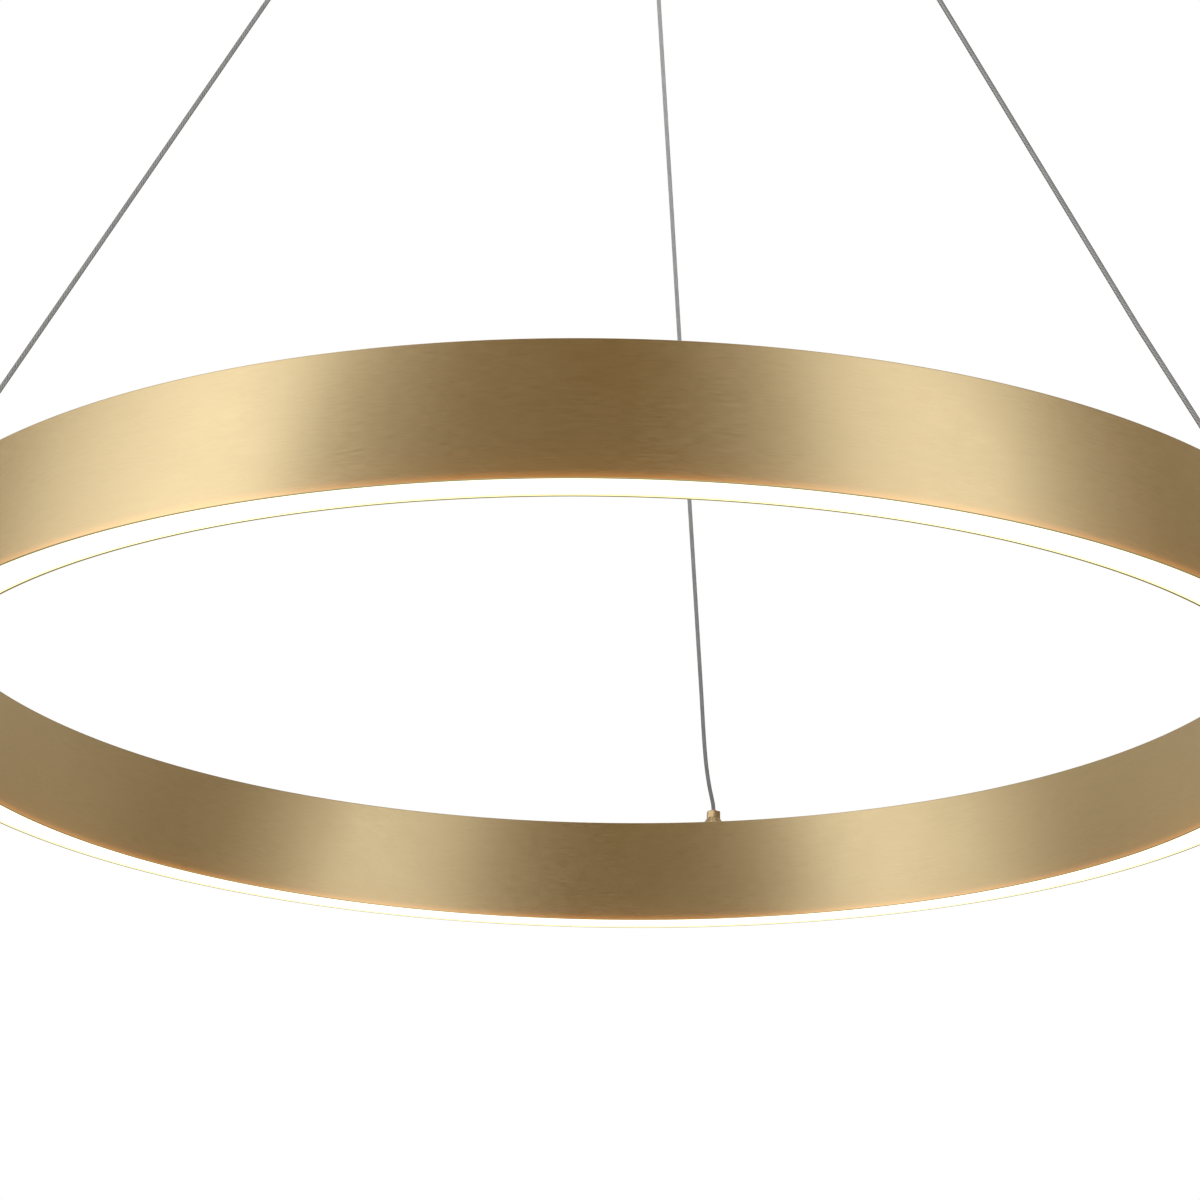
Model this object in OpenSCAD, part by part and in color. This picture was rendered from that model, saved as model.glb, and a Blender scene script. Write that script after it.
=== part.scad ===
// LED ring pendant light, hung from the ceiling on two coated steel ropes and its power cable.
// Millimetres, +Z up. The origin is on the ceiling plane, at the centre of the canopy, so all of
// the light lies below z = 0. The back cable is on +Y. Plan angles count from +Y towards +X.

/* [Ring] */
// Outer diameter of the ring
ring_d = 600; // [520:10:760]
// Height of the ring
ring_h = 50; // [46:1:70]
// Width of the ring from its outer to its inner face
ring_w = 17; // [16:0.5:22]
// Thickness of the ring's two walls
ring_wall = 1.2; // [1:0.1:1.5]
// Thickness of the ring's closed top
ring_top = 2; // [1.5:0.1:3]
// Bevel on the ring's top edges
ring_bevel = 0.4; // [0.2:0.1:0.6]
// Distance from the ceiling down to the ring's top face
ring_drop = 490; // [480:1:500]

/* [Diffuser] */
// Thickness of the opal diffuser
diffuser_t = 2; // [1.5:0.1:3]
// Height of the legs that hold the diffuser between the walls
diffuser_leg = 5; // [3:0.5:7]
// Thickness of those legs
diffuser_leg_t = 1; // [0.8:0.1:1.5]
// How far the diffuser lies above the ring's lower edge
diffuser_recess = 0.5; // [0.2:0.1:1]
// Side of the square rib that the legs stop against
rib = 0.8; // [0.6:0.1:1]

/* [Lamp] */
// Height of the tray's top face above the ring's lower edge
tray_height = 21.5; // [18:0.5:22]
// Thickness of the aluminium tray that carries the boards
tray_t = 1.5; // [1:0.1:2]
// Width of a circuit board
board_w = 9; // [8:0.5:10]
// Thickness of a circuit board
board_t = 1.6; // [1:0.2:2]
// Gap between the ends of two boards
board_joint = 4; // [3:0.5:6]
// Light-emitting chips on each board
chips_per_board = 48; // [40:2:52]
// Length of a chip, round the ring
chip_l = 3.5; // [2.8:0.1:3.8]
// Width of a chip, across the ring
chip_w = 2.8; // [2:0.1:3.5]
// Height of a chip
chip_h = 0.7; // [0.5:0.1:1]
// Diameter of the posts between the ring's top and the tray
post_d = 5; // [4.5:0.1:6]
// Diameter of the screws that hold the boards and the tray
board_screw_d = 2.5; // [2:0.1:3]
// Length of those screws under the head
board_screw_l = 9; // [8:0.5:12]
// Diameter of the two leads that feed the first board
feed_lead_d = 1.2; // [1:0.1:1.4]

/* [Cables] */
// Diameter of the coated suspension ropes and of the power cable
cable_d = 2; // [1.8:0.1:2.2]
// Outer diameter of the crimped stops in the ring
stop_d = 5; // [4:0.1:6]
// Length of the crimped stops in the ring
stop_l = 8; // [6:0.5:9]
// Outer diameter of the sleeves on the ropes' upper ends
sleeve_d = 3.6; // [3.2:0.1:5]
// Length of those sleeves
sleeve_l = 6; // [4:0.5:8]

/* [Glands] */
// Width across flats of a gland's six-sided head
gland_flats = 6.4; // [6:0.1:7]
// Height of that head above the ring
gland_h = 7.5; // [6:0.1:8]
// Outer diameter of the round neck on that head, where the cable comes out
gland_neck_d = 3.4; // [3.2:0.1:4]
// Height of that neck
gland_neck_h = 1.2; // [0.5:0.1:1.5]
// Diameter of a gland's flared foot
gland_foot_d = 11; // [10:0.1:13]
// Height of the flared foot
gland_foot_h = 4.1; // [3:0.1:5]
// Thickness of the foot's rim
gland_rim = 0.6; // [0.4:0.1:1]
// Diameter of the threaded stem below the ring's top face
gland_stem_d = 6; // [5.5:0.1:6.5]
// Length of that stem
gland_stem_l = 12; // [10:0.5:13]
// Width across flats of the nut inside the ring
gland_nut_flats = 10; // [9:0.5:11]
// Height of that nut
gland_nut_h = 4; // [3:0.5:5]
// How far the gland's flats are turned from the radius
gland_turn = 17; // [0:1:59]

/* [Canopy] */
// Outer diameter of the canopy
canopy_d = 200; // [196:1:220]
// Height of the canopy
canopy_h = 36; // [34:0.5:40]
// Thickness of the canopy's side wall
canopy_wall = 1.2; // [1:0.1:2]
// Thickness of the canopy's floor
canopy_floor = 1.5; // [1:0.1:2]
// Radius of the canopy's lower edge
canopy_edge = 3; // [2:0.5:5]
// Thickness of the steel ceiling plate and its tabs
plate_t = 1.5; // [1.2:0.1:2]
// Gap between the ceiling plate's edge and the canopy's wall
plate_gap = 6.8; // [6:0.1:10]
// Width of the plate's bent tabs
tab_w = 14; // [12:1:20]
// How far the tabs reach below the ceiling
tab_drop = 14; // [13:0.5:18]
// Gap between the tabs and the canopy's wall
tab_gap = 1.5; // [0.8:0.1:2.5]
// Distance between the plate's two slots
slot_spacing = 120; // [116:1:126]
// Width of a slot
slot_w = 5; // [4:0.1:6]
// Length of a slot from end to end
slot_l = 16; // [10:1:18]
// Diameter of the hole for the supply cable
entry_d = 20; // [14:1:24]
// Diameter of the canopy's thumbscrews
thumb_screw_d = 4; // [3:0.5:5]
// Diameter of their knurled heads
thumb_head_d = 9; // [8:0.5:12]
// Thickness of their heads
thumb_head_h = 5; // [3:0.5:7]
// Length of their shanks under the head
thumb_screw_l = 8; // [7:0.5:10]

/* [Grippers] */
// Distance from the canopy's outer wall to the axis of a gripper
gripper_inset = 20; // [18:1:24]
// Diameter of a gripper below the canopy
gripper_d = 12; // [11:0.5:14]
// Length of a gripper below the canopy
gripper_h = 16; // [15:0.5:20]
// Diameter of its threaded stem through the canopy's floor
gripper_stem_d = 10; // [9.6:0.1:10.6]
// Length of that stem above the floor's outer face
gripper_stem_l = 12; // [11:0.5:14]
// Width across flats of the nut in the canopy
gripper_nut_flats = 14; // [13:0.5:16]
// Height of that nut
gripper_nut_h = 4; // [3:0.5:5]
// Diameter of the washer under the nut
gripper_washer_d = 18; // [16:0.5:20]
// Diameter of the release plunger
plunger_d = 6; // [5.6:0.1:6.2]
// How far the plunger stands out of the gripper
plunger_reach = 4; // [3:0.5:5]
// How far the plunger can be pushed in
plunger_travel = 2; // [1:0.1:2.4]
// Diameter of the clamping balls
ball_d = 1.8; // [1.6:0.1:2]
// Diameter of the spring's wire
spring_wire = 0.6; // [0.4:0.1:0.8]
// Turns of the spring
spring_turns = 6; // [4:1:8]

/* [Driver] */
// Length of the driver's case
driver_l = 110; // [106:1:116]
// Width of the driver's case
driver_w = 38; // [34:1:42]
// Height of the driver's case without its lid
driver_h = 19; // [18:0.5:20]
// Thickness of the case's walls
driver_wall = 1.6; // [1.2:0.1:2]
// Thickness of the driver's lid
driver_lid_t = 2; // [1.5:0.1:3]
// Distance from the canopy's centre to the driver's centre line
driver_offset = 35; // [34:0.5:38]

/* [Terminal] */
// Width of the terminal block, along X
terminal_l = 28; // [27:0.5:30]
// Depth of the terminal block, along Y
terminal_w = 20; // [19:0.5:22]
// Height of the terminal block
terminal_h = 13; // [12.5:0.5:15]
// Distance between the block's two poles
pole_pitch = 14; // [13:0.5:14]
// Width of a clamping lever
lever_w = 8; // [7:0.5:8.5]
// Length of a clamping lever from its pivot
lever_l = 13; // [11:0.5:13]
// Thickness of a clamping lever
lever_t = 2.4; // [2:0.1:3]
// Diameter of a lever's pivot pin
lever_pin_d = 2; // [1.6:0.1:2.4]

/* [Hidden] */

$fn = 96;
small_fn = 48;
bevel_share = 0.5;

// Plan angles of the three cables, glands and grippers
back = 0;
right = 120;
left = 240;
cable_angles = [back, right, left];

// Clearances: a pin, plunger or thread in its bore
fit_gap = 0.06;
// a cable in its bore
bore_gap = 0.3;
// two pieces that are only put together
part_gap = 0.2;
// a spring's end turn over its seat
seat_gap = 0.05;
// how far a cutting solid runs past the face that it cuts
past = 1;

// Screw heads, nuts and washers
nut_corner_cut = 0.7;
nut_corner_h = 0.4;
washer_t = 1;
socket_depth_share = 0.6;
socket_width_share = 0.9;

// Colours
brass = [0.72, 0.58, 0.34];
bright_brass = [0.80, 0.66, 0.36];
steel = [0.72, 0.73, 0.74];
aluminium = [0.80, 0.81, 0.82];
opal = [0.97, 0.96, 0.92];
board_white = [0.93, 0.93, 0.91];
chip_yellow = [0.95, 0.86, 0.45];
rope_grey = [0.58, 0.58, 0.57];
plastic_white = [0.92, 0.92, 0.90];
lever_orange = [0.90, 0.45, 0.12];
copper_red = [0.72, 0.12, 0.10];
lead_black = [0.08, 0.08, 0.08];
lead_brown = [0.36, 0.20, 0.12];
lead_blue = [0.12, 0.28, 0.62];
board_green = [0.12, 0.38, 0.20];
ferrite = [0.16, 0.16, 0.17];

// Ring
ring_r = ring_d / 2;
ring_inner_r = ring_r - ring_w;
ring_mid_r = ring_r - ring_w / 2;
cavity_w = ring_w - 2 * ring_wall;
ring_top_z = -ring_drop;
ring_bottom_z = ring_top_z - ring_h;
cavity_top_z = ring_top_z - ring_top;
lip_bevel = ring_bevel * bevel_share;

// Diffuser and its ribs
diffuser_z = ring_bottom_z + diffuser_recess;
leg_top_z = diffuser_z + diffuser_t + diffuser_leg;
diffuser_w = cavity_w - 2 * part_gap;

// Tray, boards, chips and screws, from the top down
boards = 3;
tray_top_z = ring_bottom_z + tray_height;
tray_bottom_z = tray_top_z - tray_t;
board_bottom_z = tray_bottom_z - board_t;
tray_w = cavity_w - 2 * part_gap;
board_gap_angle = board_joint / ring_mid_r * 180 / PI;
board_angle = 360 / boards - board_gap_angle;
chip_pitch = board_angle / chips_per_board;
screw_shares = [-0.875, -0.29, 0.29, 0.875];
screw_angles = [for (s = screw_shares) round(s * chips_per_board / 2) * chip_pitch];
board_head_d = 1.8 * board_screw_d;
board_head_h = 0.6 * board_screw_d;
board_middles = [for (k = [0 : boards - 1]) k * 360 / boards];
link_w = 0.8;
link_lap = 1.5;
link_spread = 2.5;
link_turns = [180 / boards, -180 / boards];
feed_lead_spread = 2.4;
feed_hole_d = 6;

// Glands
gland_top = gland_h + gland_neck_h;
gland_nut_z = cavity_top_z - washer_t;
gland_washer_lap = 2;
gland_washer_d = gland_nut_flats + gland_washer_lap;
cable_bore_r = cable_d / 2 + bore_gap;
stop_top_z = ring_top_z - gland_stem_l;

// Canopy
canopy_r = canopy_d / 2;
canopy_rim_gap = 0.3;
canopy_floor_z = -canopy_h;
floor_inside_z = canopy_floor_z + canopy_floor;
canopy_inner_r = canopy_r - canopy_wall;
plate_r = canopy_inner_r - plate_gap;
tab_outer_r = canopy_inner_r - tab_gap;
tab_angles = [60, 180, 300];
thumb_screw_z = -8;
thumb_grooves = 16;
thumb_groove_r = 0.4;
thumb_collar = 0.8;
tab_root = 8;

// Grippers
gripper_r = canopy_r - gripper_inset;
gripper_bottom = -gripper_h;
gripper_bevel = 1;
guide_l = 4;
cone_l = 6;
cone_flare = 0.8;
cap_t = 3;
cone_bottom = gripper_bottom + guide_l;
cone_top = cone_bottom + cone_l;
plunger_r = plunger_d / 2;
plunger_bevel = 0.6;
chamber_r = plunger_r + cone_flare;
guide_r = plunger_r + fit_gap;
collar_t = 1.2;
collar_r = chamber_r - part_gap;
plunger_top = cone_top + collar_t - part_gap;
plunger_bottom = gripper_bottom - plunger_reach;
chamber_top = gripper_stem_l - cap_t;
ball_drop = 3;
ball_z = plunger_top - ball_drop;
pocket_r = ball_d / 2 + fit_gap;
ball_ring_r = cable_bore_r + ball_d / 2;
spring_side_gap = 0.4;
spring_steps = 8;
spring_r = chamber_r - spring_side_gap - spring_wire / 2;
spring_low = plunger_top + spring_wire / 2 + seat_gap;
spring_high = chamber_top - spring_wire / 2 - seat_gap;
gripper_nut_z = floor_inside_z + washer_t;

// Driver, hung under the ceiling plate
plate_bottom_z = -plate_t;
driver_top_z = plate_bottom_z;
driver_bottom_z = driver_top_z - driver_h;
driver_y = -driver_offset;
driver_front_y = driver_y + driver_w / 2;
driver_corner = 2.5;
ear_l = 6;
ear_w = 12;
ear_t = 2;
ear_lap = 1;
ear_screw_x = driver_l / 2 + ear_l / 2;
inner_screw_d = 3;
inner_screw_head_d = 4.4;
inner_screw_head_h = 1.8;
driver_board_t = 1.5;
driver_board_drop = 1.5;
driver_board_gap = 1.4;
driver_board_z = driver_top_z - driver_wall - driver_board_drop - driver_board_t;
board_post_d = 4;
board_post_inset = [8, 6];
driver_board_corner = 1;
lid_lip = 2;
lid_lip_w = 1.5;
lid_lap = 0.5;
lead_height = 7.5;
lead_z = driver_bottom_z + lead_height;
live_port_inset = 8;
neutral_port_inset = 4.4;
power_port_x = 38;
live_port_x = live_port_inset - driver_l / 2;
neutral_port_x = neutral_port_inset - driver_l / 2;
lead_d = 1.8;
connector_face_y = driver_front_y - driver_wall - part_gap;
connector_size = [8, 8];
connector_below = 2.5;
core_x = -6;
core_size = [18, 7, 12];
bobbin_d = 15;
bobbin_inset = 1.5;
capacitor_places = [[20, -6], [20, 7], [-30, 6]];
capacitor_sizes = [[10, 12], [8, 11], [8, 11]];

// Terminal block
terminal_x = -30;
terminal_corner = 1;
terminal_y = 34;
terminal_bottom_z = plate_bottom_z - terminal_h;
pole_x = [terminal_x - pole_pitch / 2, terminal_x + pole_pitch / 2];
port_height = 6.5;
port_z = terminal_bottom_z + port_height;
port_d = 3.2;
clamp_size = [6, 6, 5];
clamp_y = terminal_y;
clamp_wall = 2;
clamp_bore_d = 2.6;
pivot_offset = 6;
pivot_y = terminal_y - pivot_offset;
pivot_z = terminal_bottom_z + lever_t / 2;
lever_boss_r = lever_t / 2;
pocket_roof = 0.4;
pin_reach = 1;

// Earth stud
earth_xy = [42, 50];
earth_stud_d = 4;
earth_stud_l = 12;
earth_washer_d = 9;
earth_nut_flats = 7;
earth_nut_h = 3.2;

// Route of a plain rope from the stop in the ring to its upper end: radius, height
rope_route = [[291.5, -510], [291.5, -481], [291.2, -478.5], [290.3, -476], [289, -473.5],
    [263, -424], [237, -372], [211, -320], [185, -268], [159, -216], [133, -164], [107, -112],
    [81, -60], [80.2, -57.6], [80, -55], [80, -10]];

// Route of the power cable from the stop in the ring to the driver: x, y, z
power_route = [[0, 291.5, -510], [0, 291.5, -481], [-0.2, 291.2, -478.5], [-0.7, 290.2, -475.5],
    [-1.3, 288.6, -472], [-1.9, 286, -467], [-2.3, 283, -461.5], [-2.5, 279.4, -455],
    [-2.2, 263, -424], [-1.9, 237, -372], [-1.6, 211, -320], [-1.3, 185, -268],
    [-0.9, 159, -216], [-0.6, 133, -164], [-0.3, 107, -112], [0, 81, -60], [0, 80.2, -57.6],
    [0, 80, -55], [0, 80, -21], [0.5, 79, -17], [1.8, 76.4, -14.1], [3.6, 72.9, -13],
    [12, 56.3, -13], [21, 38.5, -13], [30, 20.7, -13], [34, 11.5, -13], [36.8, 3, -13],
    [38, -5, -13], [38, -17.8, -13]];

// Routes of the two mains leads from the terminal block's poles to the driver's ports: x, y, z
lead_fall = lead_z - port_z;
live_lead_gap = 3;
neutral_lead_gap = 6.6;
terminal_side_x = terminal_x - terminal_l / 2;
live_fall_x = terminal_side_x - live_lead_gap;
neutral_fall_x = terminal_side_x - neutral_lead_gap;
live_span = live_fall_x - pole_x[0];
function lead_run(fall_x, port_x) = [[fall_x, terminal_y - 14, port_z + 0.9 * lead_fall],
    [port_x, 0, lead_z], [port_x, connector_face_y, lead_z]];
live_route = concat([
    [pole_x[0], terminal_y + 6, port_z],
    [pole_x[0], terminal_y + 13, port_z],
    [pole_x[0] + 0.25 * live_span, terminal_y + 17.5, port_z],
    [pole_x[0] + 0.64 * live_span, terminal_y + 18.6, port_z + 0.1 * lead_fall],
    [pole_x[0] + 0.94 * live_span, terminal_y + 15, port_z + 0.3 * lead_fall],
    [live_fall_x, terminal_y + 8, port_z + 0.5 * lead_fall]], lead_run(live_fall_x, live_port_x));
neutral_route = concat([
    [pole_x[1], terminal_y + 6, port_z],
    [pole_x[1], terminal_y + 15, port_z],
    [pole_x[1] - 3, terminal_y + 21.5, port_z],
    [pole_x[1] - 10, terminal_y + 25, port_z],
    [neutral_fall_x + 7.6, terminal_y + 24.5, port_z + 0.1 * lead_fall],
    [neutral_fall_x + 1.8, terminal_y + 19, port_z + 0.3 * lead_fall],
    [neutral_fall_x, terminal_y + 10, port_z + 0.5 * lead_fall]],
    lead_run(neutral_fall_x, neutral_port_x));

// A place on the plan at an angle from +Y towards +X
function plan(angle, r) = [r * sin(angle), r * cos(angle)];
function around(angle, r, z) = [r * sin(angle), r * cos(angle), z];
function rope_points(angle) = [for (p = rope_route) around(angle, p[0], p[1])];

// Sweep of a round section along points, with its sides carried along with the least turn
function unit(v) = v / norm(v);
function tangent(p, i) =
    i == 0 ? unit(p[1] - p[0]) :
    i == len(p) - 1 ? unit(p[i] - p[i - 1]) :
    unit(unit(p[i + 1] - p[i]) + unit(p[i] - p[i - 1]));
function carried(v, t) = unit(v - (v * t) * t);
function side_vectors(p, first, made = []) =
    len(made) == len(p) ? made :
    let (i = len(made), v = carried(i == 0 ? first : made[i - 1], tangent(p, i)))
    side_vectors(p, first, concat(made, [v]));

module sweep(points, d, sides, first = [1, 0, 0]) {
    turns = len(points);
    across = side_vectors(points, first);
    corners = [for (i = [0 : turns - 1])
        let (t = tangent(points, i), u = across[i], w = cross(t, u))
        for (k = [0 : sides - 1])
            points[i] + d / 2 * (cos(360 * k / sides) * u + sin(360 * k / sides) * w)];
    skin = [for (i = [0 : turns - 2], k = [0 : sides - 1])
        let (a = i * sides + k, b = i * sides + (k + 1) % sides, c = b + sides, e = a + sides)
        each [[a, e, c], [a, c, b]]];
    first_end = [for (k = [0 : sides - 1]) k];
    last_end = [for (k = [0 : sides - 1]) turns * sides - 1 - k];
    polyhedron(corners, concat(skin, [first_end, last_end]), convexity = 6);
}

// Children at a plan angle and radius, with their own +Y pointing outwards
module at(angle, r, z = 0) {
    rotate([0, 0, -angle]) translate([0, r, z]) children();
}

// Plain ring of a flat section round the light's axis
module flat_ring(r, w, z, t) {
    translate([0, 0, z]) difference() {
        cylinder(h = t, r = r + w / 2, $fn = 256);
        translate([0, 0, -past]) cylinder(h = t + 2 * past, r = r - w / 2, $fn = 256);
    }
}

module washer(d, bore_r, t) {
    difference() {
        cylinder(h = t, d = d, $fn = small_fn);
        translate([0, 0, -past]) cylinder(h = t + 2 * past, r = bore_r, $fn = small_fn);
    }
}

module hex_nut(flats, bore_r, h) {
    difference() {
        hex_prism(flats, h);
        translate([0, 0, -past]) cylinder(h = h + 2 * past, r = bore_r, $fn = small_fn);
    }
}

// Six-sided prism with its upper corners turned down to a cone
module hex_prism(flats, h) {
    corner = flats / cos(30) / 2;
    intersection() {
        cylinder(h = h, r = corner, $fn = 6);
        union() {
            cylinder(h = h - nut_corner_h, r = corner + past, $fn = small_fn);
            translate([0, 0, h - nut_corner_h])
                cylinder(h = nut_corner_h, r1 = corner, r2 = corner - nut_corner_cut, $fn = small_fn);
        }
    }
}

// Screw that points up, with its head's top face at z = 0 and the shank above it
module screw_up(d, head_d, head_h, l) {
    translate([0, 0, -head_h]) difference() {
        union() {
            cylinder(h = head_h, d = head_d, $fn = small_fn);
            cylinder(h = head_h + l, d = d, $fn = small_fn);
        }
        translate([0, 0, -past]) cylinder(h = past + head_h * socket_depth_share,
            d = d * socket_width_share, $fn = 6);
    }
}

module rounded_box(size, r) {
    linear_extrude(size[2]) rounded_rectangle([size[0], size[1]], r);
}

// Rectangle centred on the origin, with true arcs at its corners
module rounded_rectangle(size, r) {
    square([size[0], size[1] - 2 * r], center = true);
    square([size[0] - 2 * r, size[1]], center = true);
    for (x = [-1, 1], y = [-1, 1])
        translate([x * (size[0] / 2 - r), y * (size[1] / 2 - r)]) circle(r = r, $fn = small_fn);
}

// The ring's section: two walls under a closed top, with a rib on each wall above the diffuser
module ring_section() {
    rib_z = leg_top_z - ring_top_z;
    wall = [[ring_bevel, 0], [0, -ring_bevel], [0, -ring_h + lip_bevel], [lip_bevel, -ring_h],
        [ring_wall, -ring_h], [ring_wall, rib_z], [ring_wall + rib, rib_z],
        [ring_wall + rib, rib_z + rib], [ring_wall, rib_z + rib], [ring_wall, -ring_top]];
    last = len(wall) - 1;
    polygon(concat(wall, [for (i = [0 : last]) [ring_w - wall[last - i][0], wall[last - i][1]]]));
}

module ring_housing() {
    color(brass) difference() {
        translate([0, 0, ring_top_z]) rotate_extrude($fn = 256)
            translate([ring_inner_r, 0]) ring_section();
        for (a = cable_angles) at(a, ring_mid_r, cavity_top_z - past)
            cylinder(h = ring_top + 2 * past, r = gland_stem_d / 2 + part_gap, $fn = small_fn);
    }
}

module diffuser() {
    inner = ring_mid_r - diffuser_w / 2;
    color(opal) translate([0, 0, diffuser_z]) rotate_extrude($fn = 256) {
        translate([inner, 0]) square([diffuser_w, diffuser_t]);
        for (x = [0, diffuser_w - diffuser_leg_t])
            translate([inner + x, 0]) square([diffuser_leg_t, diffuser_t + diffuser_leg]);
    }
}

module board_screw_places() {
    for (m = board_middles, s = screw_angles) at(m + s, ring_mid_r) children();
}

module led_tray() {
    color(aluminium) difference() {
        flat_ring(ring_mid_r, tray_w, tray_bottom_z, tray_t);
        board_screw_places() translate([0, 0, tray_bottom_z - past])
            cylinder(h = tray_t + 2 * past, r = board_screw_d / 2 + part_gap, $fn = small_fn);
        at(back, ring_mid_r, tray_bottom_z - past)
            cylinder(h = tray_t + 2 * past, d = feed_hole_d, $fn = small_fn);
    }
}

module tray_posts() {
    color(aluminium) board_screw_places() translate([0, 0, tray_top_z])
        washer(post_d, board_screw_d / 2 + fit_gap, cavity_top_z - tray_top_z);
}

// One board from a plan angle clockwise, with its ends square to the ring
module led_boards() {
    color(board_white) difference() {
        for (m = board_middles)
            rotate([0, 0, 90 - m - board_angle / 2]) translate([0, 0, board_bottom_z])
                rotate_extrude(angle = board_angle, $fn = 256)
                    translate([ring_mid_r - board_w / 2, 0]) square([board_w, board_t]);
        board_screw_places() translate([0, 0, board_bottom_z - past])
            cylinder(h = board_t + 2 * past, r = board_screw_d / 2 + part_gap, $fn = small_fn);
    }
}

// Wire links soldered under the two joints that carry current on to the next board
module board_links() {
    l = board_joint + 2 * link_lap;
    color(steel) for (a = link_turns, side = [-1, 1])
        at(a, ring_mid_r + side * link_spread, board_bottom_z - link_w)
            translate([-l / 2, -link_w / 2, 0]) cube([l, link_w, link_w]);
}

module led_chips() {
    first = -(chips_per_board - 1) / 2;
    color(chip_yellow) for (m = board_middles, i = [0 : chips_per_board - 1])
        at(m + (first + i) * chip_pitch, ring_mid_r, board_bottom_z - chip_h)
            translate([-chip_l / 2, -chip_w / 2, 0]) cube([chip_l, chip_w, chip_h]);
}

module board_screws() {
    color(steel) board_screw_places() translate([0, 0, board_bottom_z])
        screw_up(board_screw_d, board_head_d, board_head_h, board_screw_l);
}

// Lead from the cable stop down through the tray to the back of the first board
module feed_lead(side) {
    at(back, ring_mid_r, tray_bottom_z) translate([side * feed_lead_spread / 2, 0, 0])
        cylinder(h = stop_top_z - stop_l - tray_bottom_z, d = feed_lead_d, $fn = 24);
}

module feed_lead_positive() { color(copper_red) feed_lead(-1); }
module feed_lead_negative() { color(lead_black) feed_lead(1); }

module gland(angle) {
    color(bright_brass) at(angle, ring_mid_r, ring_top_z) rotate([0, 0, gland_turn]) difference() {
        union() {
            hex_prism(gland_flats, gland_h);
            cylinder(h = gland_rim, d = gland_foot_d, $fn = small_fn);
            translate([0, 0, gland_rim]) cylinder(h = gland_foot_h - gland_rim,
                d1 = gland_foot_d, d2 = gland_flats, $fn = small_fn);
            translate([0, 0, -gland_stem_l]) cylinder(h = gland_stem_l, d = gland_stem_d, $fn = small_fn);
            cylinder(h = gland_top, d = gland_neck_d, $fn = small_fn);
        }
        translate([0, 0, -gland_stem_l - past])
            cylinder(h = gland_stem_l + gland_top + 2 * past, r = cable_bore_r, $fn = small_fn);
    }
}

module gland_back() { gland(back); }
module gland_right() { gland(right); }
module gland_left() { gland(left); }

module gland_washers() {
    color(steel) for (a = cable_angles) at(a, ring_mid_r, gland_nut_z)
        washer(gland_washer_d, gland_stem_d / 2 + part_gap, cavity_top_z - gland_nut_z);
}

module gland_nuts() {
    color(bright_brass) for (a = cable_angles) at(a, ring_mid_r, gland_nut_z)
        mirror([0, 0, 1]) hex_nut(gland_nut_flats, gland_stem_d / 2 + fit_gap, gland_nut_h);
}

module cable_stops() {
    color(steel) for (a = cable_angles) at(a, ring_mid_r, stop_top_z - stop_l)
        washer(stop_d, cable_bore_r, stop_l);
}

module power_cable() {
    color(rope_grey) sweep(power_route, cable_d, 8);
}

module suspension_rope_right() {
    color(rope_grey) sweep(rope_points(right), cable_d, 8);
}

module suspension_rope_left() {
    color(rope_grey) sweep(rope_points(left), cable_d, 8);
}

module rope_end_sleeves() {
    top = rope_route[len(rope_route) - 1][1];
    color(steel) for (a = [right, left]) at(a, gripper_r, top - sleeve_l)
        washer(sleeve_d, cable_bore_r, sleeve_l);
}

// Gripper: its own z = 0 is the outer face of the canopy's floor
module gripper_body(angle) {
    color(bright_brass) at(angle, gripper_r, canopy_floor_z) difference() {
        union() {
            translate([0, 0, gripper_bottom])
                cylinder(h = gripper_bevel, d1 = gripper_d - 2 * gripper_bevel, d2 = gripper_d);
            translate([0, 0, gripper_bottom + gripper_bevel])
                cylinder(h = gripper_h - gripper_bevel, d = gripper_d);
            cylinder(h = gripper_stem_l, d = gripper_stem_d);
        }
        translate([0, 0, gripper_bottom - past]) cylinder(h = guide_l + 2 * past, r = guide_r);
        translate([0, 0, cone_bottom]) cylinder(h = cone_l, r1 = guide_r, r2 = chamber_r);
        translate([0, 0, cone_top]) cylinder(h = chamber_top - cone_top, r = chamber_r);
        translate([0, 0, chamber_top - past]) cylinder(h = cap_t + 2 * past, r = cable_bore_r);
    }
}

module gripper_body_back() { gripper_body(back); }
module gripper_body_right() { gripper_body(right); }
module gripper_body_left() { gripper_body(left); }

// Plunger with the cable's bore, the collar that the spring presses on, and three ball pockets
module release_plunger(angle) {
    length = plunger_top - plunger_bottom;
    color(steel) at(angle, gripper_r, canopy_floor_z) difference() {
        union() {
            translate([0, 0, plunger_bottom])
                cylinder(h = plunger_bevel, r1 = plunger_r - plunger_bevel, r2 = plunger_r);
            translate([0, 0, plunger_bottom + plunger_bevel])
                cylinder(h = length - plunger_bevel, r = plunger_r);
            translate([0, 0, plunger_top - collar_t]) cylinder(h = collar_t, r = collar_r);
        }
        translate([0, 0, plunger_bottom - past]) cylinder(h = length + 2 * past, r = cable_bore_r);
        for (k = [0 : 2]) rotate([0, 0, k * 120]) translate([0, 0, ball_z]) rotate([90, 0, 0])
            cylinder(h = plunger_r + past, r = pocket_r, $fn = small_fn);
    }
}

module release_plunger_back() { release_plunger(back); }
module release_plunger_right() { release_plunger(right); }
module release_plunger_left() { release_plunger(left); }

module gripper_balls(angle) {
    color(steel) at(angle, gripper_r, canopy_floor_z)
        for (k = [0 : 2]) rotate([0, 0, k * 120]) translate([0, -ball_ring_r, ball_z])
            sphere(d = ball_d, $fn = small_fn);
}

module gripper_balls_back() { gripper_balls(back); }
module gripper_balls_right() { gripper_balls(right); }
module gripper_balls_left() { gripper_balls(left); }

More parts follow.
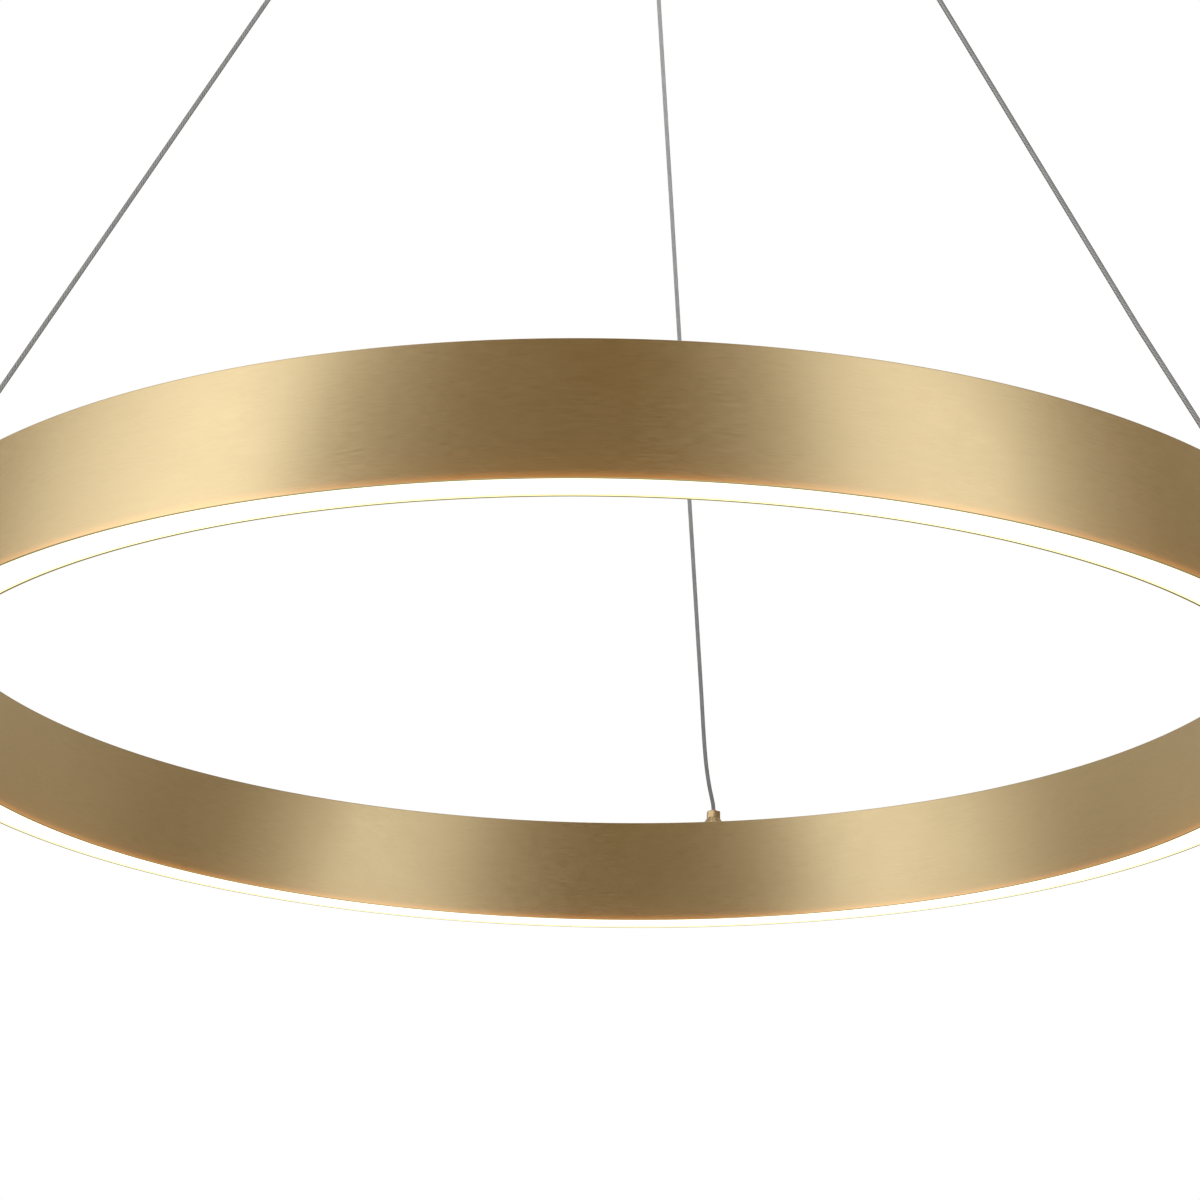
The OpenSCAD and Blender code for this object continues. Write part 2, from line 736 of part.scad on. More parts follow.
module gripper_spring(angle) {
    rise = (spring_high - spring_low) / spring_turns;
    coil = [for (i = [0 : spring_turns * spring_steps]) let (turn = i / spring_steps)
        [spring_r * cos(360 * turn), spring_r * sin(360 * turn), spring_low + rise * turn]];
    color(steel) at(angle, gripper_r, canopy_floor_z) sweep(coil, spring_wire, 6, [0, 0, 1]);
}

module gripper_spring_back() { gripper_spring(back); }
module gripper_spring_right() { gripper_spring(right); }
module gripper_spring_left() { gripper_spring(left); }

module gripper_washers() {
    color(steel) for (a = cable_angles) at(a, gripper_r, floor_inside_z)
        washer(gripper_washer_d, gripper_stem_d / 2 + part_gap, washer_t);
}

module gripper_nuts() {
    color(bright_brass) for (a = cable_angles) at(a, gripper_r, gripper_nut_z)
        hex_nut(gripper_nut_flats, gripper_stem_d / 2 + fit_gap, gripper_nut_h);
}

module canopy_section() {
    wall_top = -canopy_rim_gap;
    difference() {
        union() {
            translate([0, canopy_floor_z]) square([canopy_r - canopy_edge, canopy_h + wall_top]);
            translate([0, canopy_floor_z + canopy_edge])
                square([canopy_r, canopy_h - canopy_edge + wall_top]);
            translate([canopy_r - canopy_edge, canopy_floor_z + canopy_edge])
                circle(r = canopy_edge, $fn = small_fn);
        }
        translate([-past, floor_inside_z]) square([canopy_inner_r + past, canopy_h]);
    }
}

module canopy_cover() {
    color(brass) difference() {
        rotate_extrude($fn = 192) canopy_section();
        for (a = cable_angles) at(a, gripper_r, canopy_floor_z - past)
            cylinder(h = canopy_floor + 2 * past, r = gripper_stem_d / 2 + part_gap);
        for (a = tab_angles) at(a, canopy_inner_r - past, thumb_screw_z) rotate([-90, 0, 0])
            cylinder(h = canopy_wall + 2 * past, r = thumb_screw_d / 2 + bore_gap, $fn = small_fn);
    }
}

// Thumbscrew with a grooved head, pointing inwards
module thumbscrew() {
    difference() {
        union() {
            cylinder(h = thumb_head_h, d = thumb_head_d, $fn = small_fn);
            translate([0, 0, -thumb_screw_l]) cylinder(h = thumb_screw_l, d = thumb_screw_d, $fn = small_fn);
        }
        for (k = [0 : thumb_grooves - 1]) rotate([0, 0, k * 360 / thumb_grooves])
            translate([thumb_head_d / 2, 0, thumb_collar])
                cylinder(h = thumb_head_h, r = thumb_groove_r, $fn = 16);
    }
}

module canopy_thumbscrews() {
    color(bright_brass) for (a = tab_angles) at(a, canopy_r, thumb_screw_z)
        rotate([-90, 0, 0]) thumbscrew();
}

module slot(l, w, t) {
    for (x = [-1, 1]) translate([x * (l - w) / 2, 0, 0]) cylinder(h = t, d = w, $fn = small_fn);
    translate([-(l - w) / 2, -w / 2, 0]) cube([l - w, w, t]);
}

// Steel plate on the ceiling, with three tabs bent down for the thumbscrews
module ceiling_plate() {
    bend_r = tab_outer_r - plate_t;
    cut = plate_t + 2 * past;
    color(steel) difference() {
        union() {
            translate([0, 0, -plate_t]) cylinder(h = plate_t, r = plate_r, $fn = 192);
            for (a = tab_angles) at(a, 0) {
                translate([-tab_w / 2, plate_r - tab_root, -plate_t])
                    cube([tab_w, tab_outer_r - plate_r + tab_root, plate_t]);
                translate([-tab_w / 2, bend_r, -tab_drop]) cube([tab_w, plate_t, tab_drop]);
            }
        }
        translate([0, 0, -plate_t - past]) {
            for (x = [-1, 1]) translate([x * slot_spacing / 2, 0, 0]) slot(slot_l, slot_w, cut);
            cylinder(h = cut, d = entry_d);
            for (c = [[-ear_screw_x, driver_y], [ear_screw_x, driver_y], [terminal_x, terminal_y]])
                translate([c[0], c[1], 0])
                    cylinder(h = cut, r = inner_screw_d / 2 + fit_gap, $fn = small_fn);
        }
        for (a = tab_angles) at(a, bend_r - past, thumb_screw_z) rotate([-90, 0, 0])
            cylinder(h = cut, r = thumb_screw_d / 2 + fit_gap, $fn = small_fn);
    }
}

// Ports in the driver's front wall: one for the power cable, two for the mains leads
module driver_ports() {
    for (c = [[power_port_x, cable_bore_r], [live_port_x, lead_d / 2 + part_gap],
            [neutral_port_x, lead_d / 2 + part_gap]])
        translate([c[0], driver_front_y - driver_wall - past, lead_z]) rotate([-90, 0, 0])
            cylinder(h = driver_wall + 2 * past, r = c[1], $fn = small_fn);
}

// Children at both of the driver's fixing ears
module at_ears() {
    for (x = [-1, 1]) translate([x * ear_screw_x, driver_y, driver_top_z - ear_t]) children();
}

module driver_case() {
    inner = [driver_l - 2 * driver_wall, driver_w - 2 * driver_wall, driver_h];
    color(plastic_white) difference() {
        union() {
            difference() {
                translate([0, driver_y, driver_bottom_z])
                    rounded_box([driver_l, driver_w, driver_h], driver_corner);
                translate([0, driver_y, driver_bottom_z - driver_wall])
                    rounded_box(inner, driver_corner - driver_wall);
            }
            at_ears() rounded_box([ear_l + ear_lap, ear_w, ear_t], ear_lap);
            driver_board_posts();
        }
        at_ears() translate([0, 0, -past])
            cylinder(h = ear_t + 2 * past, r = inner_screw_d / 2 + part_gap, $fn = small_fn);
        driver_ports();
    }
}

// Short posts under the case's roof that the driver's board is glued to
module driver_board_posts() {
    for (x = [-1, 1], y = [-1, 1])
        translate([x * (driver_l / 2 - board_post_inset[0]),
            driver_y + y * (driver_w / 2 - board_post_inset[1]), driver_board_z + driver_board_t])
            cylinder(h = driver_board_drop + driver_wall / 2, d = board_post_d, $fn = small_fn);
}

module driver_lid() {
    gap = driver_wall + part_gap;
    lip = [driver_l - 2 * gap, driver_w - 2 * gap];
    color(plastic_white) difference() {
        union() {
            translate([0, driver_y, driver_bottom_z - driver_lid_t])
                rounded_box([driver_l, driver_w, driver_lid_t], driver_corner);
            translate([0, driver_y, driver_bottom_z - lid_lap])
                rounded_box([lip[0], lip[1], lid_lip + lid_lap], driver_corner - gap);
        }
        translate([0, driver_y, driver_bottom_z])
            rounded_box([lip[0] - 2 * lid_lip_w, lip[1] - 2 * lid_lip_w, lid_lip + past], part_gap);
    }
}

module driver_board() {
    margin = driver_wall + driver_board_gap;
    color(board_green) translate([0, driver_y, driver_board_z]) rounded_box(
        [driver_l - 2 * margin, driver_w - 2 * margin, driver_board_t], driver_board_corner);
}

// Transformer: a ferrite core round a wound bobbin, under the board
module driver_transformer() {
    color(ferrite) translate([core_x, driver_y, driver_board_z - core_size[2]]) {
        translate([-core_size[0] / 2, -core_size[1] / 2, 0]) cube(core_size);
        translate([0, 0, bobbin_inset]) cylinder(h = core_size[2] - bobbin_inset, d = bobbin_d);
    }
}

module driver_capacitors() {
    color(lead_black) for (i = [0 : len(capacitor_places) - 1]) let (c = capacitor_sizes[i])
        translate([capacitor_places[i][0], driver_y + capacitor_places[i][1], driver_board_z - c[1]])
            cylinder(h = c[1], d = c[0], $fn = small_fn);
}

// Push-in connectors behind the ports in the front wall
module driver_connectors() {
    input_x = (live_port_x + neutral_port_x) / 2;
    color(plastic_white) for (x = [power_port_x, input_x])
        translate([x - connector_size[0] / 2, connector_face_y - connector_size[1],
                lead_z - connector_below])
            cube([connector_size[0], connector_size[1], driver_board_z - lead_z + connector_below]);
}

module driver_screws() {
    color(steel) at_ears()
        screw_up(inner_screw_d, inner_screw_head_d, inner_screw_head_h, ear_t + plate_t - part_gap);
}

module terminal_block() {
    pocket_w = lever_w + 2 * part_gap;
    pocket_y = pivot_y - lever_boss_r - pocket_roof;
    pocket_end = pivot_y + lever_l + part_gap;
    pocket_top = pivot_z + lever_boss_r + pocket_roof;
    color(plastic_white) difference() {
        translate([terminal_x, terminal_y, terminal_bottom_z])
            rounded_box([terminal_l, terminal_w, terminal_h], terminal_corner);
        for (x = pole_x) {
            translate([x - pocket_w / 2, pocket_y, terminal_bottom_z - past])
                cube([pocket_w, pocket_end - pocket_y, pocket_top - terminal_bottom_z + past]);
            translate([x, pivot_y, pivot_z]) rotate([0, 90, 0])
                cylinder(h = pocket_w + 2 * (pin_reach + part_gap), r = lever_pin_d / 2 + fit_gap,
                    center = true, $fn = small_fn);
            translate([x, terminal_y - terminal_w / 2 - past, port_z]) rotate([-90, 0, 0])
                cylinder(h = terminal_w + 2 * past, d = port_d, $fn = small_fn);
            translate([x, clamp_y, port_z] - part_gap * [1, 1, 1] - [clamp_size[0], 0, clamp_size[2]] / 2)
                cube(clamp_size + 2 * part_gap * [1, 1, 1]);
        }
        translate([terminal_x, terminal_y, terminal_bottom_z - past])
            cylinder(h = terminal_h + 2 * past, r = inner_screw_d / 2 + part_gap, $fn = small_fn);
    }
}

// Spring cages that grip the wires, one behind each pair of ports
module terminal_clamps() {
    color(bright_brass) for (x = pole_x)
        translate([x - clamp_size[0] / 2, clamp_y, port_z - clamp_size[2] / 2]) difference() {
            cube(clamp_size);
            translate([clamp_size[0] / 2, -past, clamp_size[2] / 2]) rotate([-90, 0, 0])
                cylinder(h = past + clamp_size[1] - clamp_wall, d = clamp_bore_d, $fn = small_fn);
        }
}

// Lever that lies flush in the block's underside and swings down about its pin
module terminal_lever(x) {
    color(lever_orange) translate([x, pivot_y, pivot_z]) {
        rotate([0, 90, 0]) cylinder(h = lever_w, r = lever_boss_r, center = true, $fn = small_fn);
        translate([-lever_w / 2, 0, -lever_t / 2]) cube([lever_w, lever_l, lever_t]);
        rotate([0, 90, 0]) cylinder(h = lever_w + 2 * (pin_reach + part_gap), d = lever_pin_d,
            center = true, $fn = small_fn);
    }
}

module terminal_lever_live() { terminal_lever(pole_x[0]); }
module terminal_lever_neutral() { terminal_lever(pole_x[1]); }

module terminal_screw() {
    color(steel) translate([terminal_x, terminal_y, terminal_bottom_z])
        screw_up(inner_screw_d, inner_screw_head_d, inner_screw_head_h, terminal_h + plate_t - part_gap);
}

module live_lead() { color(lead_brown) sweep(live_route, lead_d, 8); }
module neutral_lead() { color(lead_blue) sweep(neutral_route, lead_d, 8); }

module earth_stud() {
    color(bright_brass) translate([earth_xy[0], earth_xy[1], plate_bottom_z - earth_stud_l])
        cylinder(h = earth_stud_l, d = earth_stud_d, $fn = small_fn);
}

module earth_washer() {
    color(steel) translate([earth_xy[0], earth_xy[1], plate_bottom_z - washer_t])
        washer(earth_washer_d, earth_stud_d / 2 + part_gap, washer_t);
}

module earth_nut() {
    color(bright_brass) translate([earth_xy[0], earth_xy[1], plate_bottom_z - washer_t])
        mirror([0, 0, 1]) hex_nut(earth_nut_flats, earth_stud_d / 2 + fit_gap, earth_nut_h);
}

ring_housing();
diffuser();
led_tray();
tray_posts();
led_boards();
board_links();
led_chips();
board_screws();
feed_lead_positive();
feed_lead_negative();
gland_back();
gland_right();
gland_left();
gland_washers();
gland_nuts();
cable_stops();
power_cable();
suspension_rope_right();
suspension_rope_left();
rope_end_sleeves();
gripper_body_back();
gripper_body_right();
gripper_body_left();
release_plunger_back();
release_plunger_right();
release_plunger_left();
gripper_spring_back();
gripper_spring_right();
gripper_spring_left();
gripper_balls_back();
gripper_balls_right();
gripper_balls_left();
gripper_washers();
gripper_nuts();
canopy_cover();
canopy_thumbscrews();
ceiling_plate();
driver_case();
driver_lid();
driver_board();
driver_transformer();
driver_capacitors();
driver_connectors();
driver_screws();
terminal_block();
terminal_clamps();
terminal_lever_live();
terminal_lever_neutral();
terminal_screw();
live_lead();
neutral_lead();
earth_stud();
earth_washer();
earth_nut();
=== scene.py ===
"""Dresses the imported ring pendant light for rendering.

The pendant is a brushed brass ring, open in the middle, with an opal strip of light underneath.
Two steel ropes and one power cable carry it from a round ceiling canopy. Everything is in metres,
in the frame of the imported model: the middle of the ceiling face is the origin and Z points up.
Each sub-assembly is a class that makes its pieces and gives every part its finish.
"""

import logging
import math
from collections.abc import Callable
from dataclasses import dataclass
from enum import Enum

import bmesh
import bpy
from mathutils import Matrix, Vector


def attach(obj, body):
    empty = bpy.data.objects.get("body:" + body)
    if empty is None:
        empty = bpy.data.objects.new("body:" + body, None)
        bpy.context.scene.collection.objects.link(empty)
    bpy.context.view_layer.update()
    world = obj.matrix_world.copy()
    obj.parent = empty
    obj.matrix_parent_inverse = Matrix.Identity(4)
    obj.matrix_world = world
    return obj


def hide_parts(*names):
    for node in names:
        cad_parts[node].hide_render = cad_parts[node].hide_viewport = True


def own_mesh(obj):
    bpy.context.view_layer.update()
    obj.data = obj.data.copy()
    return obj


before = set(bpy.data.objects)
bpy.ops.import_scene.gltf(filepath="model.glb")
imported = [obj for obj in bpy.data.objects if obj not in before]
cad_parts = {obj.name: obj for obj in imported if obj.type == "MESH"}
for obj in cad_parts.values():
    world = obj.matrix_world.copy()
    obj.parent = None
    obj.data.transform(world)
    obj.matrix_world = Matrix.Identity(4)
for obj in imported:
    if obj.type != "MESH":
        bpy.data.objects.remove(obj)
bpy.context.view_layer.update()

log = logging.getLogger("pendant")

Colour = tuple[float, float, float]
Point = tuple[float, float, float]
Pair = tuple[float, float]
Route = tuple[Point, ...]
Group = bpy.types.NodeTree
Mesh = bmesh.types.BMesh
Node = bpy.types.Node
Piece = bpy.types.Object
Socket = bpy.types.NodeSocket

BLACK: Colour = (0.0, 0.0, 0.0)
WHITE: Colour = (1.0, 1.0, 1.0)

# Points nearer than MERGED are one point, edges that turn more than SHARP stay sharp, and a
# rounded corner has CORNER_STEPS steps.
MERGED = 1e-6
SHARP = math.radians(32)
CORNER_STEPS = 3


# Places round the pendant


class Cable(Enum):
    """The three lines that carry the ring, each with its plan angle in degrees from the back."""

    BACK = 0
    RIGHT = 120
    LEFT = 240

    @property
    def word(self) -> str:
        """The line's word in the names of its parts."""
        return self.name.lower()

    def place(self, radius: float, height: float = 0.0) -> Vector:
        """Gives a point on this line's side of the pendant.

        Args:
            radius: distance from the pendant's axis.
            height: height of the point.

        Returns:
            The point in the model's frame.
        """
        turn = math.radians(self.value)
        return Vector((radius * math.sin(turn), radius * math.cos(turn), height))


# Shader tools


class Bench:
    """Short calls that add and join the nodes of one material or node group."""

    NOISE_RANGE: Pair = (0.25, 0.75)

    def __init__(self, tree: Group) -> None:
        """Keeps the node tree that this bench works on."""
        self.tree = tree

    def add(self, kind: str, feeds: dict | None = None, **settings: object) -> Node:
        """Adds one node.

        Args:
            kind: Blender's name for the node.
            feeds: what goes into its inputs, each a socket or a value.
            settings: the node's own settings.

        Returns:
            The new node.
        """
        node = self.tree.nodes.new(kind)
        for name, value in settings.items():
            setattr(node, name, value)
        for key, value in (feeds or {}).items():
            self.feed(node.inputs[key], value)
        return node

    def feed(self, into: Socket, value: object) -> None:
        """Joins a socket to an input, or sets the input's own value.

        Args:
            into: the input.
            value: a socket, a number, a vector or a colour.
        """
        if isinstance(value, bpy.types.NodeSocket):
            self.tree.links.new(value, into)
        elif isinstance(value, tuple) and len(value) == 3 and len(into.default_value) == 4:
            into.default_value = (*value, 1.0)
        else:
            into.default_value = value

    def calc(self, operation: str, *values: object, clamp: bool = False) -> Socket:
        """Works out one number.

        Args:
            operation: Blender's name for the operation.
            values: its inputs in order.
            clamp: whether the result is held between 0 and 1.

        Returns:
            The socket with the result.
        """
        node = self.add("ShaderNodeMath", dict(enumerate(values)), operation=operation)
        node.use_clamp = clamp
        return node.outputs[0]

    def times(self, first: object, second: object) -> Socket:
        """Multiplies two numbers, and returns their product."""
        return self.calc("MULTIPLY", first, second)

    def vector(self, operation: str, *values: object) -> Node:
        """Adds a vector operation with its inputs in order, and returns its node."""
        return self.add("ShaderNodeVectorMath", dict(enumerate(values)), operation=operation)

    def spread(self, value: Socket, low: float, high: float, to: Pair = (0.0, 1.0)) -> Socket:
        """Takes a value smoothly from one range to another.

        Args:
            value: the value.
            low: start of its range.
            high: end of its range.
            to: the range that it is taken to.

        Returns:
            The socket with the result.
        """
        feeds = {"Value": value, "From Min": low, "From Max": high,
                 "To Min": to[0], "To Max": to[1]}
        return self.add("ShaderNodeMapRange", feeds, interpolation_type="SMOOTHSTEP").outputs[0]

    def mix(self, share: object, first: object, second: object, way: str = "MIX") -> Socket:
        """Mixes two colours.

        Args:
            share: how much of the second there is.
            first: the first colour.
            second: the second colour.
            way: Blender's name for the way of mixing.

        Returns:
            The socket with the mixed colour.
        """
        node = self.add("ShaderNodeMix", data_type="RGBA", blend_type=way)
        for key, value in ((0, share), (6, first), (7, second)):
            self.feed(node.inputs[key], value)
        return node.outputs[2]

    def paint(self, colour: object, *coats: tuple[Socket, float, object]) -> Socket:
        """Lays coats of colour over a colour, one after another.

        Args:
            colour: the colour below.
            coats: each coat's mask, how much of it shows, and its colour.

        Returns:
            The socket with the topmost colour.
        """
        for mask, share, coat in coats:
            colour = self.mix(self.times(mask, share), colour, coat)
        return colour

    def pile(self, base: object, *layers: tuple[Socket, float]) -> Socket:
        """Adds shares of several values to a number, and holds it between 0 and 1.

        Args:
            base: the number.
            layers: each value, and how much of it is added.

        Returns:
            The socket with the total.
        """
        for value, share in layers:
            base = self.calc("MULTIPLY_ADD", value, share, base, clamp=True)
        return base

    def noise(self, place: Socket, detail: float, roughness: float) -> Socket:
        """Adds noise of size 1 on the given coordinates, and returns its value."""
        feeds = {"Vector": place, "Scale": 1.0, "Detail": detail, "Roughness": roughness}
        return self.add("ShaderNodeTexNoise", feeds).outputs[0]

    def clouds(self, place: Socket, detail: float, roughness: float) -> Socket:
        """Adds the same noise with its usual range spread from 0 to 1, and returns its value."""
        return self.spread(self.noise(place, detail, roughness), *self.NOISE_RANGE)

    def place(self) -> Socket:
        """The point on the piece, in metres in the model's frame."""
        return self.add("ShaderNodeTexCoord").outputs["Object"]

    def in_steps(self, size: object) -> Socket:
        """The point on the piece, in steps of the given size."""
        return self.vector("DIVIDE", self.place(), self.join(size, size, size)).outputs[0]

    def per_metre(self, count: float) -> Socket:
        """The point on the piece, in steps of which a metre has the given count."""
        return self.vector("MULTIPLY", self.place(), (count, count, count)).outputs[0]

    def height(self) -> Socket:
        """The height of the point on the piece."""
        return self.split(self.place())[2]

    def radius(self) -> Socket:
        """The distance of the point on the piece from the pendant's axis."""
        x, y, _ = self.split(self.place())
        return self.calc("SQRT", self.calc("ADD", self.times(x, x), self.times(y, y)))

    def away(self, value: Socket, middle: object) -> Socket:
        """How far a value is from a middle, on either side."""
        return self.calc("ABSOLUTE", self.calc("SUBTRACT", value, middle))

    def normal(self) -> Socket:
        """The direction that the surface faces."""
        return self.add("ShaderNodeNewGeometry").outputs["Normal"]

    def split(self, vector: Socket) -> tuple[Socket, Socket, Socket]:
        """Takes a vector apart, and returns its X, Y and Z."""
        return tuple(self.add("ShaderNodeSeparateXYZ", {0: vector}).outputs)

    def join(self, x: object, y: object, z: object) -> Socket:
        """Puts a vector together from its X, Y and Z."""
        return self.add("ShaderNodeCombineXYZ", {0: x, 1: y, 2: z}).outputs[0]

    def effect(self, make: Callable[[], Group], **inputs: object) -> Node:
        """Places a shared effect, whose group is made when it is first asked for.

        Args:
            make: what makes the group, and has the same name.
            inputs: what goes into its inputs.

        Returns:
            The effect's node.
        """
        group = bpy.data.node_groups.get(make.__name__) or make()
        return self.add("ShaderNodeGroup", inputs, node_tree=group)

    def bump(self, height: Socket, rise: float, strength: float) -> Socket:
        """Raises the surface by a height, and returns the normal that this gives.

        Args:
            height: the height, from 0 to 1.
            rise: what a height of 1 is, in metres.
            strength: how strongly the height shows.

        Returns:
            The socket with the normal.
        """
        feeds = {"Height": height, "Distance": rise, "Strength": strength}
        return self.add("ShaderNodeBump", feeds).outputs[0]


class Effects:
    """The surface effects that several finishes share, each a node group that is made once.

    A brush's marks show as rings on a flat face, RING_SHARE times as close together as on an
    upright one, and BROAD_STROKES are that much longer and wider than single ones. DUST_GRAIN and
    UNEVEN_GRAIN are the grains in a metre of dust and of an edge band's unevenness. Each noise is
    its detail and its roughness, and each other pair says where a mask starts and where it is full.
    """

    RING_SHARE = 1.37
    SINGLE_STROKES: Pair = (1.0, 1.0)
    BROAD_STROKES: Pair = (3.0, 7.0)
    BRUSHED_NOISE: Pair = (2.0, 0.6)
    ROLLED_NOISE: Pair = (2.0, 0.55)
    PATCH_NOISE: Pair = (3.0, 0.55)
    DUST_NOISE: Pair = (4.0, 0.7)
    FINE_NOISE: Pair = (3.0, 0.6)
    DUST_GRAIN = 900.0
    UNEVEN_GRAIN = 140.0
    LEVEL: Pair = (0.6, 1.0)
    DUSTY: Pair = (0.4, 0.8)
    UPRIGHT: Pair = (0.8, 0.5)
    SPECKS: Pair = (0.62, 0.74)
    GROOVE: Pair = (0.55, 0.0)
    STRAND_POWER = 0.6

    @staticmethod
    def start(name: str, inputs: dict[str, float], *outputs: str) -> tuple:
        """Starts a node group.

        Args:
            name: the group's name, which is also its maker's.
            inputs: its inputs, each with the value it has when nothing feeds it.
            outputs: the names of the values that it puts out.

        Returns:
            The group, a bench for it, the sockets that it is given and those that it fills.
        """
        group = bpy.data.node_groups.new(name, "ShaderNodeTree")
        for label in (*inputs, *outputs):
            way = "INPUT" if label in inputs else "OUTPUT"
            socket = group.interface.new_socket(label, in_out=way, socket_type="NodeSocketFloat")
            socket.default_value = inputs.get(label, 0.0)
        bench = Bench(group)
        given, out = bench.add("NodeGroupInput"), bench.add("NodeGroupOutput")
        return group, bench, given.outputs, out.inputs

    @classmethod
    def turned_lines(cls) -> Group:
        """Fine brushed lines that run level round a vertical axis.

        Returns:
            The group, with Lines for the single strokes and Broad for groups of strokes.
        """
        sizes = {"Stroke": 0.02, "Width": 0.0003, "Radial": 1.0}
        group, bench, given, out = cls.start("turned_lines", sizes, "Lines", "Broad")
        x, y, z = bench.split(bench.place())
        reach = bench.times(bench.radius(), given["Radial"])
        across = bench.calc("MULTIPLY_ADD", reach, cls.RING_SHARE, z)
        for label, (longer, wider) in (("Lines", cls.SINGLE_STROKES), ("Broad", cls.BROAD_STROKES)):
            stroke = bench.times(given["Stroke"], longer)
            width = bench.times(given["Width"], wider)
            place = bench.join(bench.calc("DIVIDE", x, stroke), bench.calc("DIVIDE", y, stroke),
                               bench.calc("DIVIDE", across, width))
            bench.feed(out[label], bench.clouds(place, *cls.BRUSHED_NOISE))
        return group

    @classmethod
    def straight_lines(cls) -> Group:
        """Fine rolling lines along X, as on sheet metal.

        Returns:
            The group, with its Lines.
        """
        sizes = {"Stroke": 0.03, "Width": 0.0004}
        group, bench, given, out = cls.start("straight_lines", sizes, "Lines")
        x, y, z = bench.split(bench.place())
        width = given["Width"]
        place = bench.join(bench.calc("DIVIDE", x, given["Stroke"]),
                           bench.calc("DIVIDE", y, width), bench.calc("DIVIDE", z, width))
        bench.feed(out["Lines"], bench.clouds(place, *cls.ROLLED_NOISE))
        return group

    @classmethod
    def mottling(cls) -> Group:
        """Soft uneven patches.

        Returns:
            The group, with Patches of the given Size.
        """
        group, bench, given, out = cls.start("mottling", {"Size": 0.03}, "Patches")
        place = bench.in_steps(given["Size"])
        bench.feed(out["Patches"], bench.clouds(place, *cls.PATCH_NOISE))
        return group

    @classmethod
    def settled_dust(cls) -> Group:
        """Thin dust on the faces that point up.

        Returns:
            The group, with a Mask of the given Amount.
        """
        group, bench, given, out = cls.start("settled_dust", {"Amount": 0.2}, "Mask")
        level = bench.spread(bench.split(bench.normal())[2], *cls.LEVEL)
        grains = bench.noise(bench.per_metre(cls.DUST_GRAIN), *cls.DUST_NOISE)
        cover = bench.times(level, bench.spread(grains, *cls.DUSTY))
        bench.feed(out["Mask"], bench.times(cover, given["Amount"]))
        return group

    @classmethod
    def edge_band(cls) -> Group:
        """A level band that fades away from one height, a little uneven. Painted shade or painted
        glow is laid in it.

        Returns:
            The group, with a Mask that is 1 at the Height and 0 a Width away from it, on upright
            faces alone.
        """
        sizes = {"Height": 0.0, "Width": 0.001, "Uneven": 0.3}
        group, bench, given, out = cls.start("edge_band", sizes, "Mask")
        facing = bench.split(bench.normal())[2]
        upright = bench.spread(bench.calc("ABSOLUTE", facing), *cls.UPRIGHT)
        share = bench.calc("DIVIDE", bench.away(bench.height(), given["Height"]), given["Width"])
        band = bench.calc("SUBTRACT", 1.0, share, clamp=True)
        rough = bench.noise(bench.per_metre(cls.UNEVEN_GRAIN), *cls.FINE_NOISE)
        uneven = bench.calc("SUBTRACT", 1.0, bench.times(rough, given["Uneven"]), clamp=True)
        curve = bench.times(bench.times(band, band), upright)
        bench.feed(out["Mask"], bench.times(curve, uneven))
        return group

    @classmethod
    def moulded_grain(cls) -> Group:
        """The fine grain of a moulded or cast surface.

        Returns:
            The group, with Grain for the height and Specks for small dark grains.
        """
        group, bench, given, out = cls.start("moulded_grain", {"Size": 0.0004}, "Grain", "Specks")
        grain = bench.noise(bench.in_steps(given["Size"]), *cls.FINE_NOISE)
        bench.feed(out["Grain"], grain)
        bench.feed(out["Specks"], bench.spread(grain, *cls.SPECKS))
        return group

    @classmethod
    def twisted_strands(cls) -> Group:
        """The strands of a rope, twisted round it, on the tube's own map.

        Returns:
            The group, with the Round height of the strands and the dark Groove between them.
        """
        sizes = {"Strands": 6.0, "Lay": 0.012}
        group, bench, given, out = cls.start("twisted_strands", sizes, "Round", "Groove")
        along, around, _ = bench.split(bench.add("ShaderNodeUVMap", uv_map="run").outputs[0])
        turns = bench.calc("ADD", around, bench.calc("DIVIDE", along, given["Lay"]))
        wave = bench.times(bench.times(turns, given["Strands"]), math.pi)
        raised = bench.calc("ABSOLUTE", bench.calc("SINE", wave))
        bench.feed(out["Round"], bench.calc("POWER", raised, cls.STRAND_POWER))
        bench.feed(out["Groove"], bench.spread(raised, *cls.GROOVE))
        return group


# Finishes


